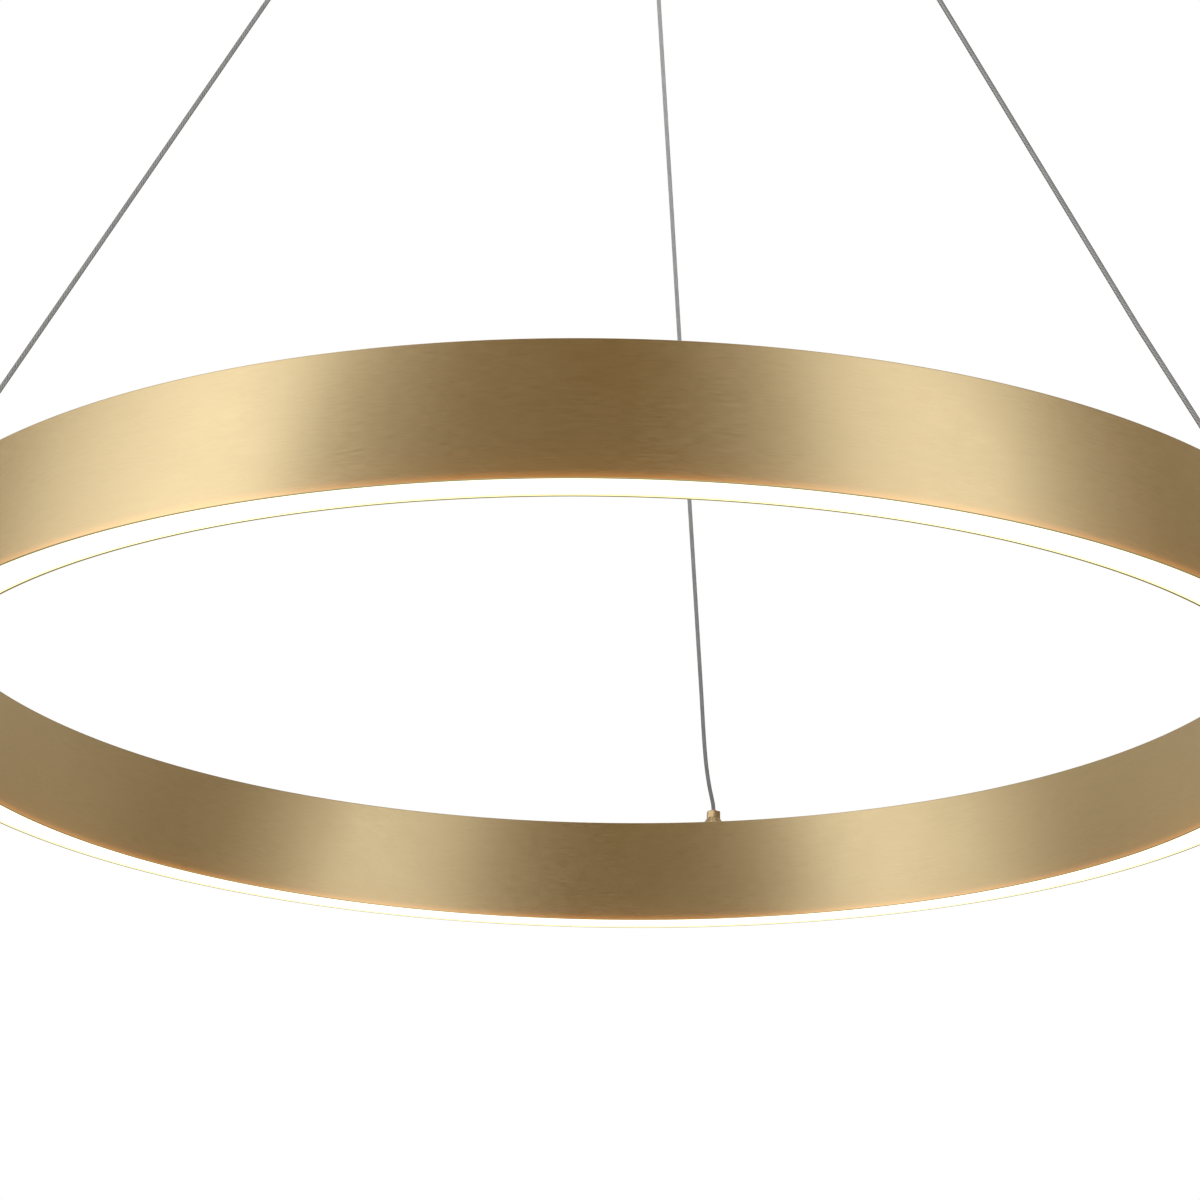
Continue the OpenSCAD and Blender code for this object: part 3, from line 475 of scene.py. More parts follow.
@dataclass(frozen=True)
class Finish:
    """What every finish has.

    The name is the material's, the slot is the record's, and the rest is how light leaves it.
    patch_size, patch_share, patch_tone and patch_rough are the size of its uneven patches, how
    much they show, how light they are and how much rougher; dust is how much dust lies on it.
    rise is the height of its marks or its grain, and relief is how strongly that height shows.
    """

    name: str
    slot: str
    colour: Colour
    roughness: float = 0.4
    metallic: float = 0.0
    coat: float = 0.0
    coat_roughness: float = 0.1
    anisotropic: float = 0.0
    turn: float = 0.0
    patch_size: float = 0.02
    patch_share: float = 0.25
    patch_tone: float = 0.88
    patch_rough: float = 0.12
    dust: float = 0.15
    dust_colour: Colour = (0.5, 0.48, 0.45)
    dust_rough: float = 0.25
    rise: float = 0.00001
    relief: float = 0.3

    def material(self) -> bpy.types.Material:
        """Makes the material when it is first asked for.

        Returns:
            The material, the same one each time.
        """
        if found := bpy.data.materials.get(self.name):
            return found
        made = bpy.data.materials.new(self.name)
        made.use_nodes = True
        shader = made.node_tree.nodes["Principled BSDF"]
        values = {"Base Color": self.colour, "Roughness": self.roughness,
                  "Metallic": self.metallic, "Coat Weight": self.coat,
                  "Coat Roughness": self.coat_roughness, "Anisotropic": self.anisotropic,
                  "Anisotropic Rotation": self.turn}
        made.diffuse_color = (*self.colour, 1.0)
        bench = Bench(made.node_tree)
        for key, value in (*values.items(), *self.dress(bench).items()):
            bench.feed(shader.inputs[key], value)
        return made

    def dress(self, bench: Bench) -> dict[str, object]:
        """Adds the finish's own nodes; each kind of finish has its own.

        Args:
            bench: the bench of the material.

        Returns:
            What goes into the shader's inputs.
        """
        raise NotImplementedError

    def tone(self, share: float) -> Colour:
        """The finish's colour, lighter above a share of 1 and darker below it."""
        return tuple(min(1.0, part * share) for part in self.colour)

    def patches(self, bench: Bench) -> Socket:
        """Adds the finish's uneven patches, and returns their mask."""
        return bench.effect(Effects.mottling, Size=self.patch_size).outputs[0]

    def settled(self, bench: Bench) -> Socket:
        """Adds the dust that lies on the finish, and returns its mask."""
        return bench.effect(Effects.settled_dust, Amount=self.dust).outputs[0]


@dataclass(frozen=True)
class BrushedMetal(Finish):
    """Metal brushed level round a vertical axis, with painted shade along its edges and thin dust.

    stroke and width are the size of the brush's marks, radial is 1 where flat faces show rings,
    contrast is how much the marks' tones differ, and broad_share and broad_tone are how much
    groups of marks show and how light they are. Each edge is a height with the width of its
    band of painted shade, of which a share shows.
    """

    metallic: float = 1.0
    patch_size: float = 0.05
    patch_share: float = 0.2
    patch_tone: float = 0.93
    patch_rough: float = 0.05
    dust: float = 0.1
    dust_colour: Colour = (0.55, 0.52, 0.48)
    dust_rough: float = 0.3
    stroke: float = 0.02
    width: float = 0.0003
    radial: float = 1.0
    contrast: float = 0.07
    broad_share: float = 0.5
    broad_tone: float = 0.6
    line_rough: float = 0.12
    relief: float = 0.35
    # Each edge gets a thin dark band of painted shade in edge_shade_colour.
    edges: tuple[Pair, ...] = ()
    edge_shade_colour: Colour = (0.25, 0.17, 0.08)
    edge_shade: float = 0.8

    def dress(self, bench: Bench) -> dict[str, object]:
        """Adds the brushing, the painted shade along the edges and the dust.

        Args:
            bench: the bench of the material.

        Returns:
            What goes into the shader's inputs.
        """
        lines, broad = bench.effect(Effects.turned_lines, Stroke=self.stroke, Width=self.width,
                                    Radial=self.radial).outputs
        patches, dust = self.patches(bench), self.settled(bench)
        dark, light = self.tone(1 - self.contrast), self.tone(1 + self.contrast)
        between = self.tone(1 + self.contrast * self.broad_tone)
        colour = bench.paint(dark, (lines, 1.0, light), (broad, self.broad_share, between),
                             (patches, self.patch_share, self.tone(self.patch_tone)))
        # Painted shade: a thin dark band along each edge.
        for height, width in self.edges:
            edge_shade_mask = bench.effect(Effects.edge_band, Height=height, Width=width).outputs[0]
            colour = bench.paint(colour, (edge_shade_mask, self.edge_shade, self.edge_shade_colour))
        colour = bench.mix(dust, self.paint_shade(bench, colour), self.dust_colour)
        rough = bench.pile(self.roughness - self.line_rough / 2, (lines, self.line_rough),
                           (patches, self.patch_rough), (dust, self.dust_rough))
        return {"Base Color": colour, "Roughness": rough,
                "Normal": bench.bump(lines, self.rise, self.relief)}

    def paint_shade(self, bench: Bench, colour: Socket) -> Socket:
        """Paints shade into the colour where a kind of metal needs it; plain metal keeps its
        colour.
        """
        return colour


@dataclass(frozen=True)
class LitMetal(BrushedMetal):
    """Brushed metal round a strip of light, with painted glow of that light along its lower edge.

    foot is the height of the lit edge, and each of the two glows has its width and its colour; the
    glows are painted light that the metal emits. The faces that look inwards are inner times as
    light as the others, which is painted shade. The walls' cut edges that point down get their own
    darker colours, which are painted shade, the inner wall's first. channel is the radius of the
    channel's middle and half its width, and inside it the walls get a painted wash of the light, up
    to the wash_heights above the foot and out to the wash_edges.
    """

    foot: float = 0.0
    # Painted light: the metal emits these glows and the wash of the strip's light.
    glows: tuple[tuple[float, Colour], ...] = (
        (0.0036, (0.29, 0.095, 0.015)), (0.016, (0.045, 0.012, 0.0)))
    wash: Colour = (0.85, 0.80, 0.46)
    wash_heights: Pair = (0.006, 0.003)
    wash_edges: Pair = (0.0003, 0.0001)
    # Painted shade: darker colours on the cut edges that point down.
    shaded_cut_colours: tuple[Colour, Colour] = ((0.32, 0.27, 0.08), (0.42, 0.39, 0.20))
    # Painted shade: faces that look inwards are darkened to this share.
    inner: float = 0.87
    inward_shade: Pair = (-0.3, -0.8)
    down: Pair = (-0.5, -0.9)
    channel: Pair = (0.2915, 0.0073)

    def paint_shade(self, bench: Bench, colour: Socket) -> Socket:
        """Paints shade on the faces that look inwards and on the cut edges that point down.

        Args:
            bench: the bench of the material.
            colour: the colour so far.

        Returns:
            The socket with the new colour.
        """
        normal = bench.normal()
        flat = bench.vector("MULTIPLY", bench.place(), (1.0, 1.0, 0.0)).outputs[0]
        outward = bench.vector("NORMALIZE", flat).outputs[0]
        side = bench.vector("DOT_PRODUCT", normal, outward).outputs["Value"]
        # Painted shade on the faces that look inwards.
        share = (self.inner, self.inner, self.inner)
        colour = bench.mix(bench.spread(side, *self.inward_shade), colour, share, "MULTIPLY")
        # Painted shade on the cut edges that point down.
        outer = bench.calc("GREATER_THAN", bench.radius(), self.channel[0])
        cut_shade = bench.mix(outer, *self.shaded_cut_colours)
        return bench.mix(bench.spread(bench.split(normal)[2], *self.down), colour, cut_shade)

    def dress(self, bench: Bench) -> dict[str, object]:
        """Adds the brushing, and the painted glow of the strip's light along the foot and in the
        channel.

        Args:
            bench: the bench of the material.

        Returns:
            What goes into the shader's inputs.
        """
        # Painted glow: the metal itself emits the strip's light along its foot.
        bands = []
        for width, glow in self.glows:
            band = bench.effect(Effects.edge_band, Height=self.foot, Width=width, Uneven=0.0)
            bands.append(bench.mix(band.outputs[0], BLACK, glow))
        middle, half = self.channel
        # Painted light: the channel walls just above the strip emit a wash of its light.
        low = bench.spread(bench.height(), *(self.foot + rise for rise in self.wash_heights))
        between = bench.spread(bench.away(bench.radius(), middle),
                               *(half + edge for edge in self.wash_edges))
        glow = bench.mix(bench.times(between, low), bench.mix(1.0, *bands, "ADD"), self.wash)
        return super().dress(bench) | {"Emission Color": glow, "Emission Strength": 1.0}


@dataclass(frozen=True)
class SheetMetal(Finish):
    """Rolled or cast metal with straight lines, patches and a little dust.

    stroke and width are the size of its lines, and contrast is how much their tones differ.
    """

    metallic: float = 1.0
    stroke: float = 0.03
    width: float = 0.0004
    contrast: float = 0.05
    smooth: float = 0.05

    def dress(self, bench: Bench) -> dict[str, object]:
        """Adds the rolling lines, the patches and the dust.

        Args:
            bench: the bench of the material.

        Returns:
            What goes into the shader's inputs.
        """
        lines = bench.effect(Effects.straight_lines, Stroke=self.stroke,
                             Width=self.width).outputs[0]
        patches, dust = self.patches(bench), self.settled(bench)
        dark, light = self.tone(1 - self.contrast), self.tone(1 + self.contrast)
        colour = bench.paint(dark, (lines, 1.0, light),
                             (patches, self.patch_share, self.tone(self.patch_tone)),
                             (dust, 1.0, self.dust_colour))
        rough = bench.pile(self.roughness - self.smooth, (patches, self.patch_rough),
                           (dust, self.dust_rough))
        return {"Base Color": colour, "Roughness": rough,
                "Normal": bench.bump(lines, self.rise, self.relief)}


@dataclass(frozen=True)
class Moulded(Finish):
    """Moulded plastic, rubber or pressed powder, with a fine grain, patches and small specks.

    grain is the grain's size, and specks is how much of the speck_colour shows.
    """

    patch_size: float = 0.012
    patch_share: float = 0.3
    patch_tone: float = 0.86
    patch_rough: float = 0.14
    dust: float = 0.12
    dust_colour: Colour = (0.5, 0.49, 0.47)
    grain: float = 0.0004
    rise: float = 0.00003
    relief: float = 0.6
    speck_colour: Colour = (0.3, 0.3, 0.3)
    specks: float = 0.1

    def dress(self, bench: Bench) -> dict[str, object]:
        """Adds the grain, the patches and the specks.

        Args:
            bench: the bench of the material.

        Returns:
            What goes into the shader's inputs.
        """
        grain, specks = bench.effect(Effects.moulded_grain, Size=self.grain).outputs
        patches = self.patches(bench)
        colour = bench.paint(self.colour, (patches, self.patch_share, self.tone(self.patch_tone)),
                             (specks, self.specks, self.speck_colour),
                             (self.settled(bench), 1.0, self.dust_colour))
        rough = bench.pile(self.roughness - self.patch_rough / 2, (patches, self.patch_rough))
        return {"Base Color": colour, "Roughness": rough,
                "Normal": bench.bump(grain, self.rise, self.relief)}


@dataclass(frozen=True)
class GlowingOpal(Finish):
    """The opal strip: lit from behind, and warmer towards its sides.

    middle is the radius of the strip's middle and half is half its width, of which sides says
    where the side_colour starts and where it is full. The glow_colours mix in faint clouds.
    """

    patch_size: float = 0.01
    patch_share: float = 0.5
    patch_tone: float = 0.96
    middle: float = 0.2915
    half: float = 0.0071
    sides: Pair = (-0.69, 1.02)
    strength: float = 2.4
    glow_colours: tuple[Colour, Colour] = ((1.0, 0.97, 0.9), (1.0, 0.99, 0.95))
    side_colour: Colour = (0.40, 0.37, 0.23)
    grain: float = 0.0003
    grain_rough: float = 0.1

    def dress(self, bench: Bench) -> dict[str, object]:
        """Adds the light, its warm sides and the strip's faint clouds.

        Args:
            bench: the bench of the material.

        Returns:
            What goes into the shader's inputs.
        """
        clouds = self.patches(bench)
        grain = bench.effect(Effects.moulded_grain, Size=self.grain).outputs["Grain"]
        side = bench.spread(bench.away(bench.radius(), self.middle),
                            *(self.half * share for share in self.sides))
        plain, cloudy = self.glow_colours
        glow = bench.paint(plain, (clouds, self.patch_share, cloudy),
                           (side, 1.0, self.side_colour))
        return {"Emission Color": glow, "Emission Strength": self.strength,
                "Base Color": bench.mix(clouds, self.colour, self.tone(self.patch_tone)),
                "Roughness": bench.pile(self.roughness, (grain, self.grain_rough)),
                "Normal": bench.bump(grain, self.rise, self.relief)}


@dataclass(frozen=True)
class SheathedRope(Finish):
    """Steel strands twisted under a clear sheath.

    strands is how many show, lay is the length of one turn, and groove is how much of the
    groove_shade_colour shows between them, as painted shade in the grooves. wires is how many wires
    a strand has, and wire_lay how much longer their turn is; wire_share and wire_shade_tone are how
    much the painted shade between the wires shows and how light it is. limb is how light the
    sheath's two sides are beside its middle, as painted shade, and lift how much lighter it gets
    with each metre above the height height_light_from, as painted light.
    """

    patch_size: float = 0.006
    patch_share: float = 0.5
    patch_tone: float = 0.75
    strands: float = 6.0
    lay: float = 0.012
    groove_shade_colour: Colour = (0.035, 0.033, 0.03)
    groove: float = 0.8
    groove_rough: float = 0.2
    wires: float = 5.0
    wire_lay: float = 1.8
    wire_share: float = 0.35
    wire_shade_tone: float = 0.5
    rise: float = 0.00025
    relief: float = 0.6
    limb_shade: float = 0.6
    sides: Pair = (0.25, 0.75)
    height_light: float = 0.0
    height_light_from: float = -0.43

    def dress(self, bench: Bench) -> dict[str, object]:
        """Adds the strands and the wires' fine lines, with painted shade between them, and the
        sheath's painted shade and light.

        Args:
            bench: the bench of the material.

        Returns:
            What goes into the shader's inputs.
        """
        twist, groove = bench.effect(Effects.twisted_strands, Strands=self.strands,
                                     Lay=self.lay).outputs
        wires = bench.effect(Effects.twisted_strands, Strands=self.strands * self.wires,
                             Lay=self.lay * self.wire_lay)
        # Painted shade in the grooves between the strands and between the wires.
        colour = bench.paint(self.colour,
                             (self.patches(bench), self.patch_share, self.tone(self.patch_tone)),
                             (wires.outputs["Groove"], self.wire_share, self.tone(self.wire_shade_tone)),
                             (groove, self.groove, self.groove_shade_colour))
        # Painted shade darkens the sheath's two sides, and painted light makes it lighter up its
        # run.
        facing = bench.add("ShaderNodeLayerWeight", {"Blend": 0.5}).outputs["Facing"]
        height = bench.calc("SUBTRACT", bench.height(), self.height_light_from)
        shade = bench.times(bench.spread(facing, *self.sides, (1.0, self.limb_shade)),
                            bench.calc("MULTIPLY_ADD", height, self.height_light, 1.0))
        return {"Base Color": bench.mix(1.0, colour, bench.join(shade, shade, shade), "MULTIPLY"),
                "Roughness": bench.pile(self.roughness, (groove, self.groove_rough)),
                "Normal": bench.bump(twist, self.rise, self.relief)}


@dataclass(frozen=True)
class PrintedBoard(Finish):
    """A lacquered circuit board with copper tracks under the lacquer and tinned pads.

    pitch is how far the tracks are apart, and a track is track_width of it. weave is the size of
    the board's weave, and pads says where a pad starts and where it is full.
    """

    track_colour: Colour = (0.1, 0.4, 0.2)
    track_width: float = 0.06
    track_share: float = 0.7
    pad_colour: Colour = (0.6, 0.6, 0.58)
    pads: Pair = (0.16, 0.1)
    pitch: float = 0.004
    weave: float = 0.0003
    weave_share: float = 0.3
    weave_tone: float = 0.8
    weave_rough: float = 0.15
    rise: float = 0.00004
    relief: float = 0.5

    def dress(self, bench: Bench) -> dict[str, object]:
        """Adds the tracks, the pads and the weave of the board.

        Args:
            bench: the bench of the material.

        Returns:
            What goes into the shader's inputs.
        """
        feeds = {"Vector": bench.per_metre(1.0 / self.pitch), "Scale": 1.0}
        bricks = bench.add("ShaderNodeTexBrick", feeds | {"Mortar Size": self.track_width})
        tracks = bricks.outputs["Fac"]
        spots = bench.add("ShaderNodeTexVoronoi", feeds).outputs["Distance"]
        weave = bench.effect(Effects.moulded_grain, Size=self.weave).outputs["Grain"]
        colour = bench.paint(self.colour, (weave, self.weave_share, self.tone(self.weave_tone)),
                             (tracks, self.track_share, self.track_colour),
                             (bench.spread(spots, *self.pads), 1.0, self.pad_colour))
        return {"Base Color": colour,
                "Roughness": bench.pile(self.roughness, (weave, self.weave_rough)),
                "Normal": bench.bump(bench.calc("ADD", tracks, weave), self.rise, self.relief)}


class Palette:
    """The finishes of this pendant."""

    # The ring's top edge and the canopy's rim carry a band of painted shade.
    RING = LitMetal("ring_brushed_brass", "brushed_brass", (0.70, 0.56, 0.33), 0.36,
                    anisotropic=0.75, turn=0.25, stroke=0.006, width=0.00032, foot=-0.540,
                    edges=((-0.490, 0.0008),))
    CANOPY = BrushedMetal("canopy_brushed_brass", "brushed_brass", (0.70, 0.56, 0.33), 0.36,
                          anisotropic=0.6, turn=0.25, stroke=0.006, edges=((-0.0003, 0.0008),))
    FITTING = BrushedMetal("fitting_bright_brass", "bright_brass", (0.52, 0.385, 0.22), 0.26,
                           stroke=0.003, width=0.00005, radial=0.0, contrast=0.04, rise=0.000002)
    STEEL = SheetMetal("turned_steel", "steel", (0.58, 0.58, 0.57), 0.3, stroke=0.006,
                       width=0.00015)
    ZINC = SheetMetal("zinc_plated_plate", "steel", (0.62, 0.63, 0.64), 0.42, contrast=0.06)
    ALUMINIUM = SheetMetal("rolled_aluminium", "aluminium", (0.74, 0.75, 0.76), 0.38)
    OPAL = GlowingOpal("lit_opal_strip", "opal", (0.93, 0.92, 0.88), 0.45)
    # The ropes have painted shade on their sides and in their grooves; the cable also gets lighter
    # up its run, as painted light.
    ROPE = SheathedRope("sheathed_steel_rope", "rope_sheath", (0.40, 0.405, 0.41), 0.35,
                        metallic=0.4, coat=0.15, coat_roughness=0.12,
                        groove_shade_colour=(0.035, 0.034, 0.032), limb_shade=0.2)
    CABLE = SheathedRope("sheathed_power_cable", "rope_sheath", (0.26, 0.265, 0.268), 0.4,
                         metallic=0.2, coat=0.15, coat_roughness=0.15, strands=2.0, lay=0.02,
                         groove_shade_colour=(0.165, 0.165, 0.16), groove=0.4, rise=0.0001, height_light=3.2)
    LED_BOARD = PrintedBoard("white_led_board", "circuit_board", (0.82, 0.82, 0.80), 0.4,
                             track_colour=(0.72, 0.72, 0.68), pad_colour=(0.62, 0.6, 0.55),
                             pitch=0.006)
    CHIP = Moulded("chip_phosphor", "chip_phosphor", (0.85, 0.62, 0.12), 0.35, grain=0.0002,
                   speck_colour=(0.95, 0.8, 0.3), specks=0.4)
    WHITE_PLASTIC = Moulded("white_moulded_plastic", "white_plastic", (0.80, 0.80, 0.77), 0.42)
    GREEN_BOARD = PrintedBoard("green_driver_board", "green_board", (0.03, 0.16, 0.07), 0.32)
    FERRITE = Moulded("pressed_ferrite", "ferrite", (0.035, 0.035, 0.037), 0.6, specks=0.5,
                      grain=0.0006)
    BLACK_PLASTIC = Moulded("black_moulded_plastic", "black_plastic", (0.02, 0.02, 0.021), 0.4)
    RED = Moulded("red_lead_insulation", "red_insulation", (0.5, 0.02, 0.015), 0.38)
    ORANGE = Moulded("orange_lever_plastic", "orange_plastic", (0.75, 0.17, 0.02), 0.38)
    BROWN = Moulded("brown_lead_insulation", "brown_insulation", (0.12, 0.045, 0.02), 0.4)
    BLUE = Moulded("blue_lead_insulation", "blue_insulation", (0.02, 0.07, 0.38), 0.4)


# Making pieces


def put(name: str, mesh: Mesh, finish: Finish, *nodes: str) -> Piece:
    """Turns a finished mesh into a piece that rides on the light's still body.

    Args:
        name: the piece's name.
        mesh: its mesh, which is freed.
        finish: its finish.
        nodes: the CAD parts that it stands for.

    Returns:
        The piece.
    """
    bmesh.ops.remove_doubles(mesh, verts=mesh.verts, dist=MERGED)
    bmesh.ops.recalc_face_normals(mesh, faces=mesh.faces)
    piece = new_object(name, mesh, finish.material())
    piece.data.shade_smooth()
    piece.data.set_sharp_from_angle(angle=SHARP)
    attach(piece, "light")
    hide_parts(*nodes)
    log.info("%s: %d faces, %s", name, len(piece.data.polygons), finish.name)
    return piece


def new_object(name: str, mesh: Mesh, material: bpy.types.Material) -> Piece:
    """Turns a mesh into an object of the scene.

    Args:
        name: the object's name.
        mesh: its mesh, which is freed.
        material: its material.

    Returns:
        The object.
    """
    data = bpy.data.meshes.new(name)
    mesh.to_mesh(data)
    mesh.free()
    data.materials.append(material)
    piece = bpy.data.objects.new(name, data)
    bpy.context.scene.collection.objects.link(piece)
    return piece


def rounded(mesh: Mesh, parts: list, size: float, kind: str, segments: int) -> None:
    """Rounds corners or edges of a mesh.

    Args:
        mesh: the mesh.
        parts: its corners or edges that are rounded.
        size: the size of the rounding.
        kind: VERTICES for corners, or EDGES.
        segments: how many steps the rounding has.
    """
    bmesh.ops.bevel(mesh, geom=parts, offset=size, offset_type="OFFSET", affect=kind,
                    segments=segments, profile=0.5, material=-1)


def turned(section: list[Point], steps: int, middle: Vector | None = None) -> Mesh:
    """Turns a closed section round a vertical axis.

    Args:
        section: its corners, each with a radius, a height and the size of its rounding.
        steps: how many steps the full turn has.
        middle: a point on the axis; the pendant's own axis if it is left out.

    Returns:
        The mesh.
    """
    mesh = bmesh.new()
    corners = [mesh.verts.new((radius, 0.0, height)) for radius, height, _ in section]
    mesh.faces.new(corners)
    for size in sorted({soft for *_, soft in section if soft > 0}):
        soft = [corner for corner, (*_, amount) in zip(corners, section) if amount == size]
        rounded(mesh, soft, size, "VERTICES", CORNER_STEPS)
    rim = mesh.edges[:]
    bmesh.ops.delete(mesh, geom=mesh.faces[:], context="FACES_ONLY")
    bmesh.ops.spin(mesh, geom=[*mesh.verts, *rim], cent=(0, 0, 0), axis=(0, 0, 1), dvec=(0, 0, 0),
                   angle=math.tau, steps=steps, use_merge=True)
    bmesh.ops.remove_doubles(mesh, verts=mesh.verts, dist=MERGED)
    if middle is not None:
        bmesh.ops.translate(mesh, verts=mesh.verts, vec=(middle.x, middle.y, 0.0))
    return mesh


def join(first: Mesh, second: Mesh) -> Mesh:
    """Joins two meshes.

    Args:
        first: the mesh that is added to.
        second: the mesh that is added, and freed.

    Returns:
        The first mesh.
    """
    data = bpy.data.meshes.new("joined")
    second.to_mesh(data)
    second.free()
    first.from_mesh(data)
    bpy.data.meshes.remove(data)
    return first


def hexagon(flats: float, bore: float, low: float, high: float, soft: Pair, middle: Vector,
            turn: float) -> Mesh:
    """Makes an upright hexagonal body with a round bore and softened edges.

    Args:
        flats: its width across flats.
        bore: the bore's radius.
        low: height of its underside.
        high: height of its top.
        soft: size of the rounding round its top, and of its other edges.
        middle: a point on its axis.
        turn: how far it is turned, in degrees.

    Returns:
        The mesh.
    """
    # Only edges that turn more than sharp_turn and lie outside off_bore are rounded.
    sides, cuts, sharp_turn = 6, 3, 0.7
    near_top, anywhere, off_bore = (high - low) * 0.99, -1.0, bore * 1.05
    mesh = bmesh.new()
    bmesh.ops.create_circle(mesh, segments=sides, radius=flats / math.sqrt(3))
    bmesh.ops.subdivide_edges(mesh, edges=mesh.edges[:], cuts=cuts)
    bmesh.ops.create_circle(mesh, segments=sides * (cuts + 1), radius=bore)
    bmesh.ops.bridge_loops(mesh, edges=mesh.edges[:])
    raised = bmesh.ops.extrude_face_region(mesh, geom=mesh.faces[:])["geom"]
    lifted = [part for part in raised if isinstance(part, bmesh.types.BMVert)]
    bmesh.ops.translate(mesh, verts=lifted, vec=(0, 0, high - low))
    bmesh.ops.recalc_face_normals(mesh, faces=mesh.faces)
    for size, segments, least in ((soft[0], 4, near_top), (soft[1], 2, anywhere)):
        sharp = [edge for edge in mesh.edges if edge.calc_face_angle(0.0) > sharp_turn
                 and max(vert.co.xy.length for vert in edge.verts) > off_bore
                 and min(vert.co.z for vert in edge.verts) > least]
        rounded(mesh, sharp, size, "EDGES", segments)
    bmesh.ops.rotate(mesh, verts=mesh.verts, matrix=Matrix.Rotation(math.radians(turn), 3, "Z"))
    bmesh.ops.translate(mesh, verts=mesh.verts, vec=(middle.x, middle.y, low))
    return mesh


def smooth_line(points: Route, reach: float = 0.004, most: int = 5,
                straight: float = 0.02) -> list[Vector]:
    """Rounds a route between its points, and leaves its straight stretches alone.

    Args:
        points: the route's points.
        reach: the longest step on a bend.
        most: the most steps between two points.
        straight: the largest turn, in radians, that still counts as straight.

    Returns:
        The points of a smooth line through the route.
    """
    route = [Vector(point) for point in points]
    line = [route[0]]
    for index, (start, end) in enumerate(zip(route, route[1:])):
        before = route[index - 1] if index else start * 2 - end
        after = route[index + 2] if index + 2 < len(route) else end * 2 - start
        span = (end - start).length
        bend = max((start - before).angle(end - start), (end - start).angle(after - end))
        steps = max(1, min(most, math.ceil(span / reach))) if bend > straight else 1
        into = ((start - before).normalized() + (end - start).normalized()).normalized() * span
        out = ((end - start).normalized() + (after - end).normalized()).normalized() * span
        for step in range(1, steps + 1):
            t = step / steps
            line.append(start * (2 * t**3 - 3 * t**2 + 1) + into * (t**3 - 2 * t**2 + t)
                        + end * (3 * t**2 - 2 * t**3) + out * (t**3 - t**2))
    return line


def tube(line: list[Vector], thickness: float, sides: int) -> Mesh:
    """Sweeps a circle along a line, with a map of metres along and share around.

    Args:
        line: the points of the line.
        thickness: the tube's diameter.
        sides: how many sides it has.

    Returns:
        The mesh.
    """
    mesh = bmesh.new()
    run = mesh.loops.layers.uv.new("run")
    heading = (line[1] - line[0]).normalized()
    turn = Vector((0, 0, 1)).rotation_difference(heading).to_matrix().to_4x4()
    ring = bmesh.ops.create_circle(mesh, segments=sides, radius=thickness / 2,
                                   matrix=Matrix.Translation(line[0]) @ turn)["verts"]
    around = {vert: index for index, vert in enumerate(ring)}
    along = dict.fromkeys(ring, 0.0)
    edges = mesh.edges[:]
    bmesh.ops.contextual_create(mesh, geom=ring)
    total = 0.0
    for index, (start, end) in enumerate(zip(line, line[1:])):
        total += (end - start).length
        after = line[index + 2] if index + 2 < len(line) else end * 2 - start
        next_heading = ((end - start).normalized() + (after - end).normalized()).normalized()
        swing = heading.rotation_difference(next_heading).to_matrix().to_4x4()
        made = bmesh.ops.extrude_edge_only(mesh, edges=edges)["geom"]
        fresh = [part for part in made if isinstance(part, bmesh.types.BMVert)]
        behind = dict(around)
        for vert in fresh:
            near = (edge.other_vert(vert) for edge in vert.link_edges)
            around[vert] = behind[next(old for old in near if old in behind)]
            along[vert] = total
        move = Matrix.Translation(end) @ swing @ Matrix.Translation(-start)
        bmesh.ops.transform(mesh, matrix=move, verts=fresh)
        edges = [part for part in made if isinstance(part, bmesh.types.BMEdge)]
        for face in (part for part in made if isinstance(part, bmesh.types.BMFace)):
            wraps = {around[vert] for vert in face.verts} == {0, sides - 1}
            for loop in face.loops:
                share = 1.0 if wraps and around[loop.vert] == 0 else around[loop.vert] / sides
                loop[run].uv = (along[loop.vert], share)
        around = {vert: around[vert] for vert in fresh}
        heading = next_heading
    bmesh.ops.contextual_create(mesh, geom=list(around))
    return mesh


def dress(finish: Finish, *nodes: str) -> None:
    """Gives CAD parts, whose shape is right, their finish.

    Args:
        finish: the finish.
        nodes: the names of the parts.
    """
    for name in nodes:
        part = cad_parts[name]
        if not part.material_slots:
            part.data.materials.append(None)
        for holder in part.material_slots:
            holder.material = finish.material()
        log.info("%s: %s", name, finish.name)


# Sub-assemblies


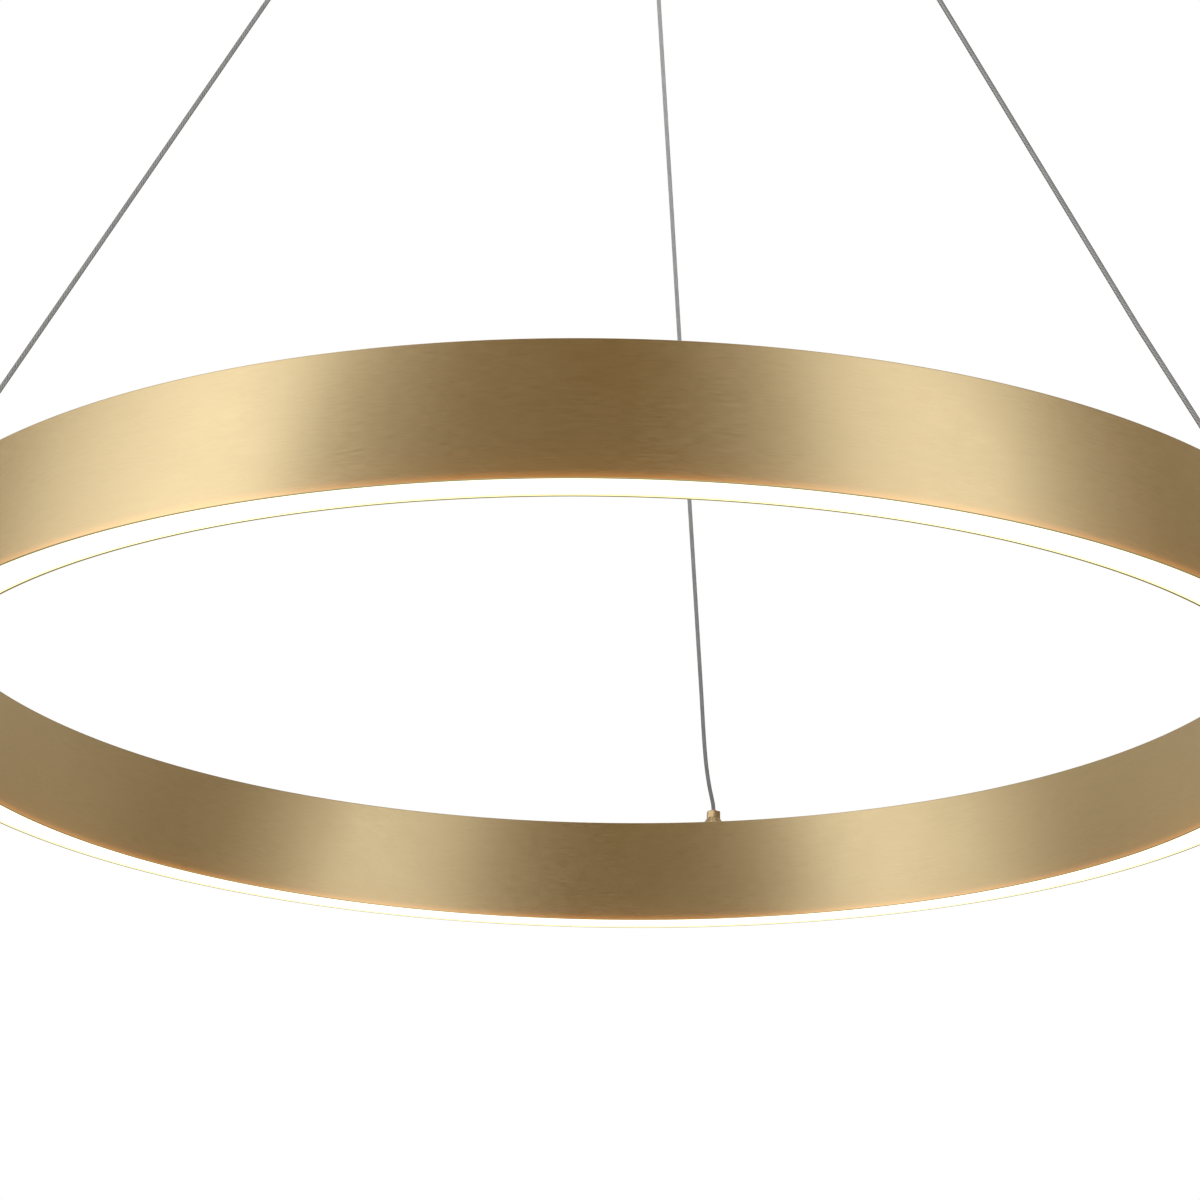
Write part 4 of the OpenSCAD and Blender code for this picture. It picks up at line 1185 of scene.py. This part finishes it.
@dataclass
class LightRing:
    """The hollow brass ring with its opal strip, and the lit boards inside it.

    top is the height of the ring's top face and drop its full height. The strip lies recess
    above the lower edge, with play beside it, and its legs reach up under the ribs.
    """

    outer: float = 0.300
    inner: float = 0.283
    top: float = -0.490
    drop: float = 0.050
    wall: float = 0.0012
    roof: float = 0.002
    edge: float = 0.0004
    lip: float = 0.0002
    rib: float = 0.0008
    strip_thick: float = 0.002
    leg: float = 0.005
    leg_thick: float = 0.001
    recess: float = 0.0005
    play: float = 0.0002
    steps: int = 720

    @property
    def bottom(self) -> float:
        """Height of the ring's lower edge."""
        return self.top - self.drop

    def build(self) -> None:
        """Makes the shell and the strip, and dresses what is inside."""
        self.shell()
        self.strip()
        dress(Palette.ALUMINIUM, "led_tray", "tray_posts")
        dress(Palette.LED_BOARD, "led_boards")
        dress(Palette.CHIP, "led_chips")
        dress(Palette.STEEL, "board_links", "board_screws")
        dress(Palette.RED, "feed_lead_positive")
        dress(Palette.BLACK_PLASTIC, "feed_lead_negative")

    def shell(self) -> None:
        """Makes the ring's channel, open below, with a rib inside each wall."""
        out, within = self.outer - self.wall, self.inner + self.wall
        legs = self.bottom + self.recess + self.strip_thick + self.leg
        rib_top = legs + self.rib + self.play * 4
        rib_low, ceiling = rib_top - self.rib, self.top - self.roof
        section = [
            (self.inner, self.bottom, self.lip), (self.inner, self.top, self.edge),
            (self.outer, self.top, self.edge), (self.outer, self.bottom, self.lip),
            (out, self.bottom, self.lip), (out, rib_low, 0.0), (out - self.rib, rib_low, 0.0),
            (out - self.rib, rib_top, 0.0), (out, rib_top, 0.0), (out, ceiling, 0.0),
            (within, ceiling, 0.0), (within, rib_top, 0.0), (within + self.rib, rib_top, 0.0),
            (within + self.rib, rib_low, 0.0), (within, rib_low, 0.0),
            (within, self.bottom, self.lip),
        ]
        put("ring_shell", turned(section, self.steps), Palette.RING, "ring_housing")

    def strip(self) -> None:
        """Makes the opal strip with its two legs."""
        low = self.bottom + self.recess
        floor, legs = low + self.strip_thick, low + self.strip_thick + self.leg
        out, within = self.outer - self.wall - self.play, self.inner + self.wall + self.play
        section = [
            (within, low, self.lip), (within, legs, 0.0), (within + self.leg_thick, legs, 0.0),
            (within + self.leg_thick, floor, 0.0), (out - self.leg_thick, floor, 0.0),
            (out - self.leg_thick, legs, 0.0), (out, legs, 0.0), (out, low, self.lip),
        ]
        put("opal_strip", turned(section, self.steps), Palette.OPAL, "diffuser")


@dataclass
class CableGlands:
    """The three small brass fittings on the ring that the cables go down through.

    The foot flares out below the head: flare is how far it stands out flare_share of the way up,
    and the head starts head_share of the way up.
    """

    radius: float = 0.2915
    seat: float = -0.490
    flats: float = 0.0064
    height: float = 0.0075
    foot: float = 0.011
    foot_height: float = 0.0041
    rim: float = 0.0006
    stem: float = 0.006
    stem_length: float = 0.012
    stem_soft: float = 0.0003
    neck: float = 0.0028
    neck_height: float = 0.0008
    flare: float = 0.0012
    flare_share: float = 0.55
    flare_soft: float = 0.0006
    head_share: float = 0.6
    bore: float = 0.0013
    soft: float = 0.0002
    shoulder: float = 0.0004
    turn: float = 17.0
    foot_steps: int = 48
    neck_steps: int = 32

    def build(self) -> None:
        """Makes each gland, and dresses what holds it from inside."""
        for cable in Cable:
            self.gland(cable)
        dress(Palette.STEEL, "gland_washers", "cable_stops")
        dress(Palette.FITTING, "gland_nuts")

    def gland(self, cable: Cable) -> None:
        """Makes one gland: a hexagon on a flared round foot, with a neck above and a stem below.

        Args:
            cable: the cable that goes through it.
        """
        middle = cable.place(self.radius)
        waist, head = self.flats / 2, self.seat + self.height
        stem_end, foot_top = self.seat - self.stem_length, self.seat + self.foot_height
        neck_low, neck_top = head - self.shoulder, head + self.neck_height
        foot = [
            (self.bore, stem_end, 0.0), (self.stem / 2, stem_end, self.stem_soft),
            (self.stem / 2, self.seat, 0.0), (self.foot / 2, self.seat, 0.0),
            (self.foot / 2, self.seat + self.rim, self.soft),
            (waist + self.flare, self.seat + self.foot_height * self.flare_share, self.flare_soft),
            (waist, foot_top, 0.0), (self.bore, foot_top, 0.0),
        ]
        neck = [
            (self.bore, neck_low, 0.0), (self.neck / 2, neck_low, 0.0),
            (self.neck / 2, neck_top, self.soft), (self.bore, neck_top, 0.0),
        ]
        body = join(turned(foot, self.foot_steps, middle), turned(neck, self.neck_steps, middle))
        top = hexagon(self.flats, self.bore, self.seat + self.foot_height * self.head_share, head,
                      (self.shoulder, self.soft), middle, self.turn - cable.value)
        put(f"cable_gland_{cable.word}", join(body, top), Palette.FITTING, f"gland_{cable.word}")


@dataclass
class Suspension:
    """The two steel ropes and the power cable, from the ring up to the canopy.

    The rope's route is in radius and height, and the power cable's in plain points.
    """

    thickness: float = 0.002
    rope_length: float = 0.55
    power_length: float = 0.65
    sides: int = 16
    rope_route: tuple[Pair, ...] = (
        (0.2915, -0.510), (0.2915, -0.481), (0.2912, -0.4785), (0.2903, -0.476),
        (0.289, -0.4735), (0.263, -0.424), (0.237, -0.372), (0.211, -0.320), (0.185, -0.268),
        (0.159, -0.216), (0.133, -0.164), (0.107, -0.112), (0.081, -0.060), (0.0802, -0.0576),
        (0.080, -0.055), (0.080, -0.010))
    power_route: Route = (
        (0.0, 0.2915, -0.510), (0.0, 0.2915, -0.481), (-0.0002, 0.2912, -0.4785),
        (-0.0007, 0.2902, -0.4755), (-0.0013, 0.2886, -0.472), (-0.0019, 0.286, -0.467),
        (-0.0023, 0.283, -0.4615), (-0.0025, 0.2794, -0.455), (-0.0022, 0.263, -0.424),
        (-0.0019, 0.237, -0.372), (-0.0016, 0.211, -0.320), (-0.0013, 0.185, -0.268),
        (-0.0009, 0.159, -0.216), (-0.0006, 0.133, -0.164), (-0.0003, 0.107, -0.112),
        (0.0, 0.081, -0.060), (0.0, 0.0802, -0.0576), (0.0, 0.080, -0.055),
        (0.0, 0.080, -0.021), (0.0005, 0.079, -0.017), (0.0018, 0.0764, -0.0141),
        (0.0036, 0.0729, -0.013), (0.012, 0.0563, -0.013), (0.021, 0.0385, -0.013),
        (0.030, 0.0207, -0.013), (0.034, 0.0115, -0.013), (0.0368, 0.003, -0.013),
        (0.038, -0.005, -0.013), (0.038, -0.0178, -0.013))

    def build(self) -> None:
        """Makes the three lines and dresses the sleeves on the ropes' ends."""
        for cable in (Cable.RIGHT, Cable.LEFT):
            route = tuple(tuple(cable.place(*point)) for point in self.rope_route)
            self.line(f"rope_{cable.word}", route, Palette.ROPE,
                      f"suspension_rope_{cable.word}", self.rope_length)
        self.line("cable_power", self.power_route, Palette.CABLE, "power_cable",
                  self.power_length)
        dress(Palette.STEEL, "rope_end_sleeves")

    def line(self, name: str, route: Route, finish: Finish, node: str, length: float) -> None:
        """Args:
            name: the piece's name.
            route: the points that it passes.
            finish: its finish.
            node: the CAD part that it stands for.
            length: its real length; not used.
        """
        path = smooth_line(route)
        piece = put(name, tube(path, self.thickness, self.sides), finish, node)


@dataclass
class RopeGrippers:
    """The three adjusters under the canopy, each with a sprung plunger that lets the line go.

    floor is the height of the canopy's outer floor, and the bore widens from the guide to the
    chamber. A groove goes round the body groove_rise above its bevel. collar is the thickness of
    the plunger's collar, slack its play, and travel how far the plunger goes in.
    """

    radius: float = 0.080
    floor: float = -0.036
    width: float = 0.012
    height: float = 0.016
    bevel: float = 0.001
    stem: float = 0.010
    stem_length: float = 0.012
    cap: float = 0.003
    bore: float = 0.0013
    guide: float = 0.00306
    guide_length: float = 0.004
    chamber: float = 0.0038
    cone: float = 0.006
    groove_rise: float = 0.0016
    groove_depth: float = 0.0003
    groove_slope: float = 0.0001
    groove_floor: float = 0.0004
    soft: float = 0.0002
    seat_soft: float = 0.0003
    stem_soft: float = 0.0004
    steps: int = 64
    collar: float = 0.0012
    slack: float = 0.0002
    travel: float = 0.002
    coil: float = 0.0031
    wire: float = 0.0006
    wire_sides: int = 8
    turns: int = 6
    coil_steps: int = 24
    seat: float = 5e-05

    def build(self) -> None:
        """Makes each gripper and its spring, and dresses its plunger, balls, washer and nut."""
        for cable in Cable:
            self.body(cable)
            self.spring(cable)
            dress(Palette.STEEL, f"release_plunger_{cable.word}", f"gripper_balls_{cable.word}")
        dress(Palette.STEEL, "gripper_washers")
        dress(Palette.FITTING, "gripper_nuts")

    @property
    def cone_top(self) -> float:
        """The height where the bore has widened to the chamber."""
        return self.floor - self.height + self.guide_length + self.cone

    @property
    def ceiling(self) -> float:
        """The height of the chamber's upper end."""
        return self.floor + self.stem_length - self.cap

    def body(self, cable: Cable) -> None:
        """Makes one gripper's body.

        Args:
            cable: the line that it grips.
        """
        low, top = self.floor - self.height, self.floor + self.stem_length
        side, sunk = self.width / 2, self.width / 2 - self.groove_depth
        groove = low + self.bevel + self.groove_rise
        sunk_low = groove + self.groove_slope
        sunk_top = sunk_low + self.groove_floor
        section = [
            (self.guide, low, 0.0), (side - self.bevel, low, self.soft),
            (side, low + self.bevel, self.soft), (side, groove, 0.0), (sunk, sunk_low, 0.0),
            (sunk, sunk_top, 0.0), (side, sunk_top + self.groove_slope, 0.0),
            (side, self.floor, self.seat_soft), (self.stem / 2, self.floor, 0.0),
            (self.stem / 2, top, self.stem_soft), (self.bore, top, 0.0),
            (self.bore, self.ceiling, 0.0), (self.chamber, self.ceiling, 0.0),
            (self.chamber, self.cone_top, 0.0), (self.guide, low + self.guide_length, 0.0),
        ]
        put(f"gripper_{cable.word}", turned(section, self.steps, cable.place(self.radius)),
            Palette.FITTING, f"gripper_body_{cable.word}")

    def spring(self, cable: Cable) -> None:
        """Makes the spring over one plunger, at one fixed length.

        Args:
            cable: the line that goes through it.
        """
        low = self.cone_top + self.collar - self.slack + self.seat
        high = self.ceiling - self.seat
        steps = self.turns * self.coil_steps
        middle = cable.place(self.radius)
        upright = Matrix.Rotation(math.pi / 2, 4, "X")
        mesh = bmesh.new()
        bmesh.ops.create_circle(
            mesh, cap_ends=True, segments=self.wire_sides, radius=self.wire / 2,
            matrix=Matrix.Translation((self.coil, 0.0, low + self.wire / 2)) @ upright)
        bmesh.ops.spin(mesh, geom=mesh.faces[:], cent=(0, 0, 0), axis=(0, 0, 1),
                       dvec=(0, 0, (high - low - self.wire) / steps),
                       angle=math.tau * self.turns, steps=steps)
        bmesh.ops.translate(mesh, verts=mesh.verts, vec=(middle.x, middle.y, 0.0))
        piece = put(f"release_spring_{cable.word}", mesh, Palette.STEEL,
                    f"gripper_spring_{cable.word}")
        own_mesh(piece)


@dataclass
class Canopy:
    """The round cover on the ceiling, its thumbscrews, and the plate that it hangs on.

    rim is the height of the cover's upper edge, just below the ceiling.
    """

    radius: float = 0.100
    rim: float = -0.0003
    height: float = 0.036
    wall: float = 0.0012
    floor: float = 0.0015
    edge: float = 0.003
    rim_soft: float = 0.0003
    inner_soft: float = 0.0002
    steps: int = 360

    def build(self) -> None:
        """Makes the cover and dresses the thumbscrews and the plate."""
        self.cover()
        dress(Palette.FITTING, "canopy_thumbscrews")
        dress(Palette.ZINC, "ceiling_plate")

    def cover(self) -> None:
        """Makes the cover, closed below and open above."""
        within, low = self.radius - self.wall, -self.height
        section = [
            (0.0, low, 0.0), (self.radius, low, self.edge), (self.radius, self.rim, self.rim_soft),
            (within, self.rim, self.inner_soft), (within, low + self.floor, self.edge - self.wall),
            (0.0, low + self.floor, 0.0),
        ]
        put("canopy_shell", turned(section, self.steps), Palette.CANOPY, "canopy_cover")


@dataclass
class Driver:
    """The power supply inside the canopy, whose CAD parts have their right shape."""

    case: Finish = Palette.WHITE_PLASTIC
    board: Finish = Palette.GREEN_BOARD

    def build(self) -> None:
        """Dresses the case, the board and what is on it."""
        dress(self.case, "driver_case", "driver_lid", "driver_connectors")
        dress(self.board, "driver_board")
        dress(Palette.FERRITE, "driver_transformer")
        dress(Palette.BLACK_PLASTIC, "driver_capacitors")
        dress(Palette.STEEL, "driver_screws")


@dataclass
class SupplyTerminal:
    """The terminal with its two levers, its leads to the driver, and the earth stud."""

    housing: Finish = Palette.WHITE_PLASTIC
    lever: Finish = Palette.ORANGE

    def build(self) -> None:
        """Dresses the terminal, the leads and the earth stud."""
        dress(self.housing, "terminal_block")
        dress(self.lever, "terminal_lever_live", "terminal_lever_neutral")
        dress(Palette.STEEL, "terminal_clamps", "terminal_screw", "earth_washer", "earth_nut")
        dress(Palette.FITTING, "earth_stud")
        dress(Palette.BROWN, "live_lead")
        dress(Palette.BLUE, "neutral_lead")


# Studio


@dataclass(frozen=True)
class Lamp:
    """A soft square lamp: its name, its place, the length of its sides and its power in watts."""

    name: str
    place: Point
    size: float
    power: float

    def hang(self, target: Point) -> None:
        """Hangs the lamp so that it faces a point.

        Args:
            target: the point.
        """
        data = bpy.data.lights.new(self.name, "AREA")
        data.shape, data.size, data.energy = "SQUARE", self.size, self.power
        lamp = bpy.data.objects.new(self.name, data)
        aim = (Vector(target) - Vector(self.place)).to_track_quat("-Z", "Y")
        lamp.matrix_world = Matrix.Translation(self.place) @ aim.to_matrix().to_4x4()
        lamp.visible_camera = lamp.visible_glossy = False
        bpy.context.scene.collection.objects.link(lamp)


@dataclass
class Studio:
    """The camera where the photograph was taken, a pale floor, a plain world and soft lamps.

    The camera's place is in metres. Each panel of the light wall is a bearing in degrees, seen
    from above, from -Y towards +X, with how bright it is there, from the dim light at 0 to the
    bright one at 1. The floor fades to the backdrop over the radii of floor_fade.
    """

    eye: Point = (0.24112, -1.24086, -0.93279)
    right: Point = (0.98217, 0.18733, 0.01578)
    up: Point = (0.04941, -0.33823, 0.93977)
    lens: float = 95.612
    sensor: float = 36.0
    clip: Pair = (0.01, 100.0)
    ambient: Colour = (0.97, 0.98, 1.0)
    ambient_strength: float = 0.55
    floor_height: float = -2.3
    floor_radius: float = 40.0
    floor_roughness: float = 0.8
    floor_patch: float = 0.4
    floor_colours: tuple[Colour, Colour] = ((0.82, 0.82, 0.82), (0.86, 0.86, 0.86))
    floor_glow: Colour = (0.32, 0.32, 0.32)
    floor_fade: Pair = (2.0, 12.0)
    floor_sides: int = 96
    wall_radius: float = 1.8
    wall_lift: float = 0.01
    wall_top: float = 10.0
    wall_sides: int = 180
    dim: Colour = (0.19, 0.12, 0.035)
    bright: Colour = (1.65, 1.66, 1.65)
    panels: tuple[Pair, ...] = (
        (-180, 0.24), (-120, 0.28), (-88, 0.22), (-62, 0.73), (-40, 0.98), (-24, 0.16),
        (-8, 0.05), (16, 0.02), (30, 0.12), (45, 0.64), (60, 0.85), (78, 0.23), (95, 0.07),
        (125, 0.20), (180, 0.24))
    lamps: tuple[Lamp, ...] = (
        Lamp("key_lamp", (-2.6, -2.4, 1.6), 2.2, 60.0),
        Lamp("fill_lamp", (2.8, -1.8, 1.0), 2.6, 45.0),
        Lamp("back_lamp", (0.6, 3.2, 1.8), 2.4, 40.0))
    target: Point = (0.0, 0.0, -0.3)

    def build(self) -> None:
        """Makes the camera, the world, the floor, the light wall and the lamps."""
        self.camera()
        self.world()
        self.floor()
        self.light_wall()
        for lamp in self.lamps:
            lamp.hang(self.target)
        bpy.context.scene.view_settings.view_transform = "Standard"

    def camera(self) -> None:
        """Makes the camera and gives it to the scene."""
        data = bpy.data.cameras.new("photo_camera")
        data.sensor_fit, data.sensor_width, data.lens = "AUTO", self.sensor, self.lens
        data.clip_start, data.clip_end = self.clip
        taker = bpy.data.objects.new("photo_camera", data)
        right, up = Vector(self.right).normalized(), Vector(self.up).normalized()
        turn = Matrix((right, up, right.cross(up))).transposed()
        taker.matrix_world = Matrix.Translation(self.eye) @ turn.to_4x4()
        bpy.context.scene.collection.objects.link(taker)
        bpy.context.scene.camera = taker
        log.info("camera: lens %.1f mm", self.lens)

    def world(self) -> None:
        """Makes a white backdrop for what is seen and reflected, and a plain light for the rest."""
        made = bpy.data.worlds.new("studio_world")
        made.use_nodes = True
        bench = Bench(made.node_tree)
        made.node_tree.nodes.clear()
        path = bench.add("ShaderNodeLightPath").outputs
        seen = bench.calc("MAXIMUM", path["Is Camera Ray"], path["Is Glossy Ray"])
        seen = bench.calc("MAXIMUM", seen, path["Is Transmission Ray"])
        backdrop = bench.add("ShaderNodeBackground", {"Color": WHITE, "Strength": 1.0})
        ambient = bench.add("ShaderNodeBackground",
                            {"Color": self.ambient, "Strength": self.ambient_strength})
        both = bench.add("ShaderNodeMixShader",
                         {0: seen, 1: ambient.outputs[0], 2: backdrop.outputs[0]})
        bench.add("ShaderNodeOutputWorld", {"Surface": both.outputs[0]})
        bpy.context.scene.world = made

    def floor(self) -> None:
        """Makes the pale floor, which keeps the shadow and fades to the white backdrop."""
        mesh = bmesh.new()
        bmesh.ops.create_circle(mesh, cap_ends=True, segments=self.floor_sides,
                                radius=self.floor_radius)
        bmesh.ops.translate(mesh, verts=mesh.verts, vec=(0, 0, self.floor_height))
        made = bpy.data.materials.new("pale_floor")
        made.use_nodes = True
        bench = Bench(made.node_tree)
        shader = made.node_tree.nodes["Principled BSDF"]
        soft = bench.effect(Effects.mottling, Size=self.floor_patch).outputs[0]
        bench.feed(shader.inputs["Base Color"], bench.mix(soft, *self.floor_colours))
        shader.inputs["Roughness"].default_value = self.floor_roughness
        path = bench.add("ShaderNodeLightPath").outputs
        seen = bench.calc("MAXIMUM", path["Is Camera Ray"], path["Is Glossy Ray"])
        far = bench.times(bench.spread(bench.radius(), *self.floor_fade), path["Is Camera Ray"])
        glow = bench.paint(BLACK, (seen, 1.0, self.floor_glow), (far, 1.0, WHITE))
        bench.feed(shader.inputs["Emission Color"], glow)
        shader.inputs["Emission Strength"].default_value = 1.0
        self.stand("studio_floor", mesh, made)

    def light_wall(self) -> None:
        """Makes the round wall of light and dark panels that only reflections show."""
        mesh = bmesh.new()
        bmesh.ops.create_circle(mesh, segments=self.wall_sides, radius=self.wall_radius)
        bmesh.ops.translate(mesh, verts=mesh.verts, vec=(0, 0, self.floor_height + self.wall_lift))
        raised = bmesh.ops.extrude_edge_only(mesh, edges=mesh.edges[:])["geom"]
        lifted = [part for part in raised if isinstance(part, bmesh.types.BMVert)]
        bmesh.ops.translate(mesh, verts=lifted, vec=(0, 0, self.wall_top - self.floor_height))
        made = bpy.data.materials.new("light_wall")
        made.use_nodes = True
        made.cycles.emission_sampling = "NONE"
        bench = Bench(made.node_tree)
        made.node_tree.nodes.clear()
        x, y, _ = bench.split(bench.place())
        bearing = bench.calc("ARCTAN2", x, bench.times(y, -1.0))
        share = bench.calc("MULTIPLY_ADD", bearing, 1 / math.tau, 0.5)
        ramp = bench.add("ShaderNodeValToRGB", {0: share})
        ramp.color_ramp.interpolation = "EASE"
        stops = ramp.color_ramp.elements
        while len(stops) < len(self.panels):
            stops.new(0.5)
        for stop, (angle, level) in zip(stops, self.panels):
            stop.position = angle / 360 + 0.5
            stop.color = (level, level, level, 1.0)
        colour = bench.mix(ramp.outputs[0], self.dim, self.bright)
        light = bench.add("ShaderNodeEmission", {"Color": colour, "Strength": 1.0})
        bench.add("ShaderNodeOutputMaterial", {"Surface": light.outputs[0]})
        wall = self.stand("light_wall", mesh, made)
        wall.visible_camera = wall.visible_diffuse = wall.visible_shadow = False
        wall.visible_transmission = wall.visible_volume_scatter = False

    def stand(self, name: str, mesh: Mesh, made: bpy.types.Material) -> Piece:
        """Puts up a piece of the studio, which isn't part of the pendant.

        Args:
            name: its name.
            mesh: its mesh, which is freed.
            made: its material.

        Returns:
            The piece.
        """
        piece = new_object(name, mesh, made)
        log.info("%s", name)
        return piece


def main() -> None:
    """Builds the studio and the pendant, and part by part."""
    logging.basicConfig(level=logging.INFO, format="%(name)s %(message)s")
    for part in (Studio(), Suspension(), LightRing(), CableGlands(), RopeGrippers(), Canopy(),
                 Driver(), SupplyTerminal()):
        part.build()
        log.info("%s is done", type(part).__name__)


if __name__ == "__main__":
    main()
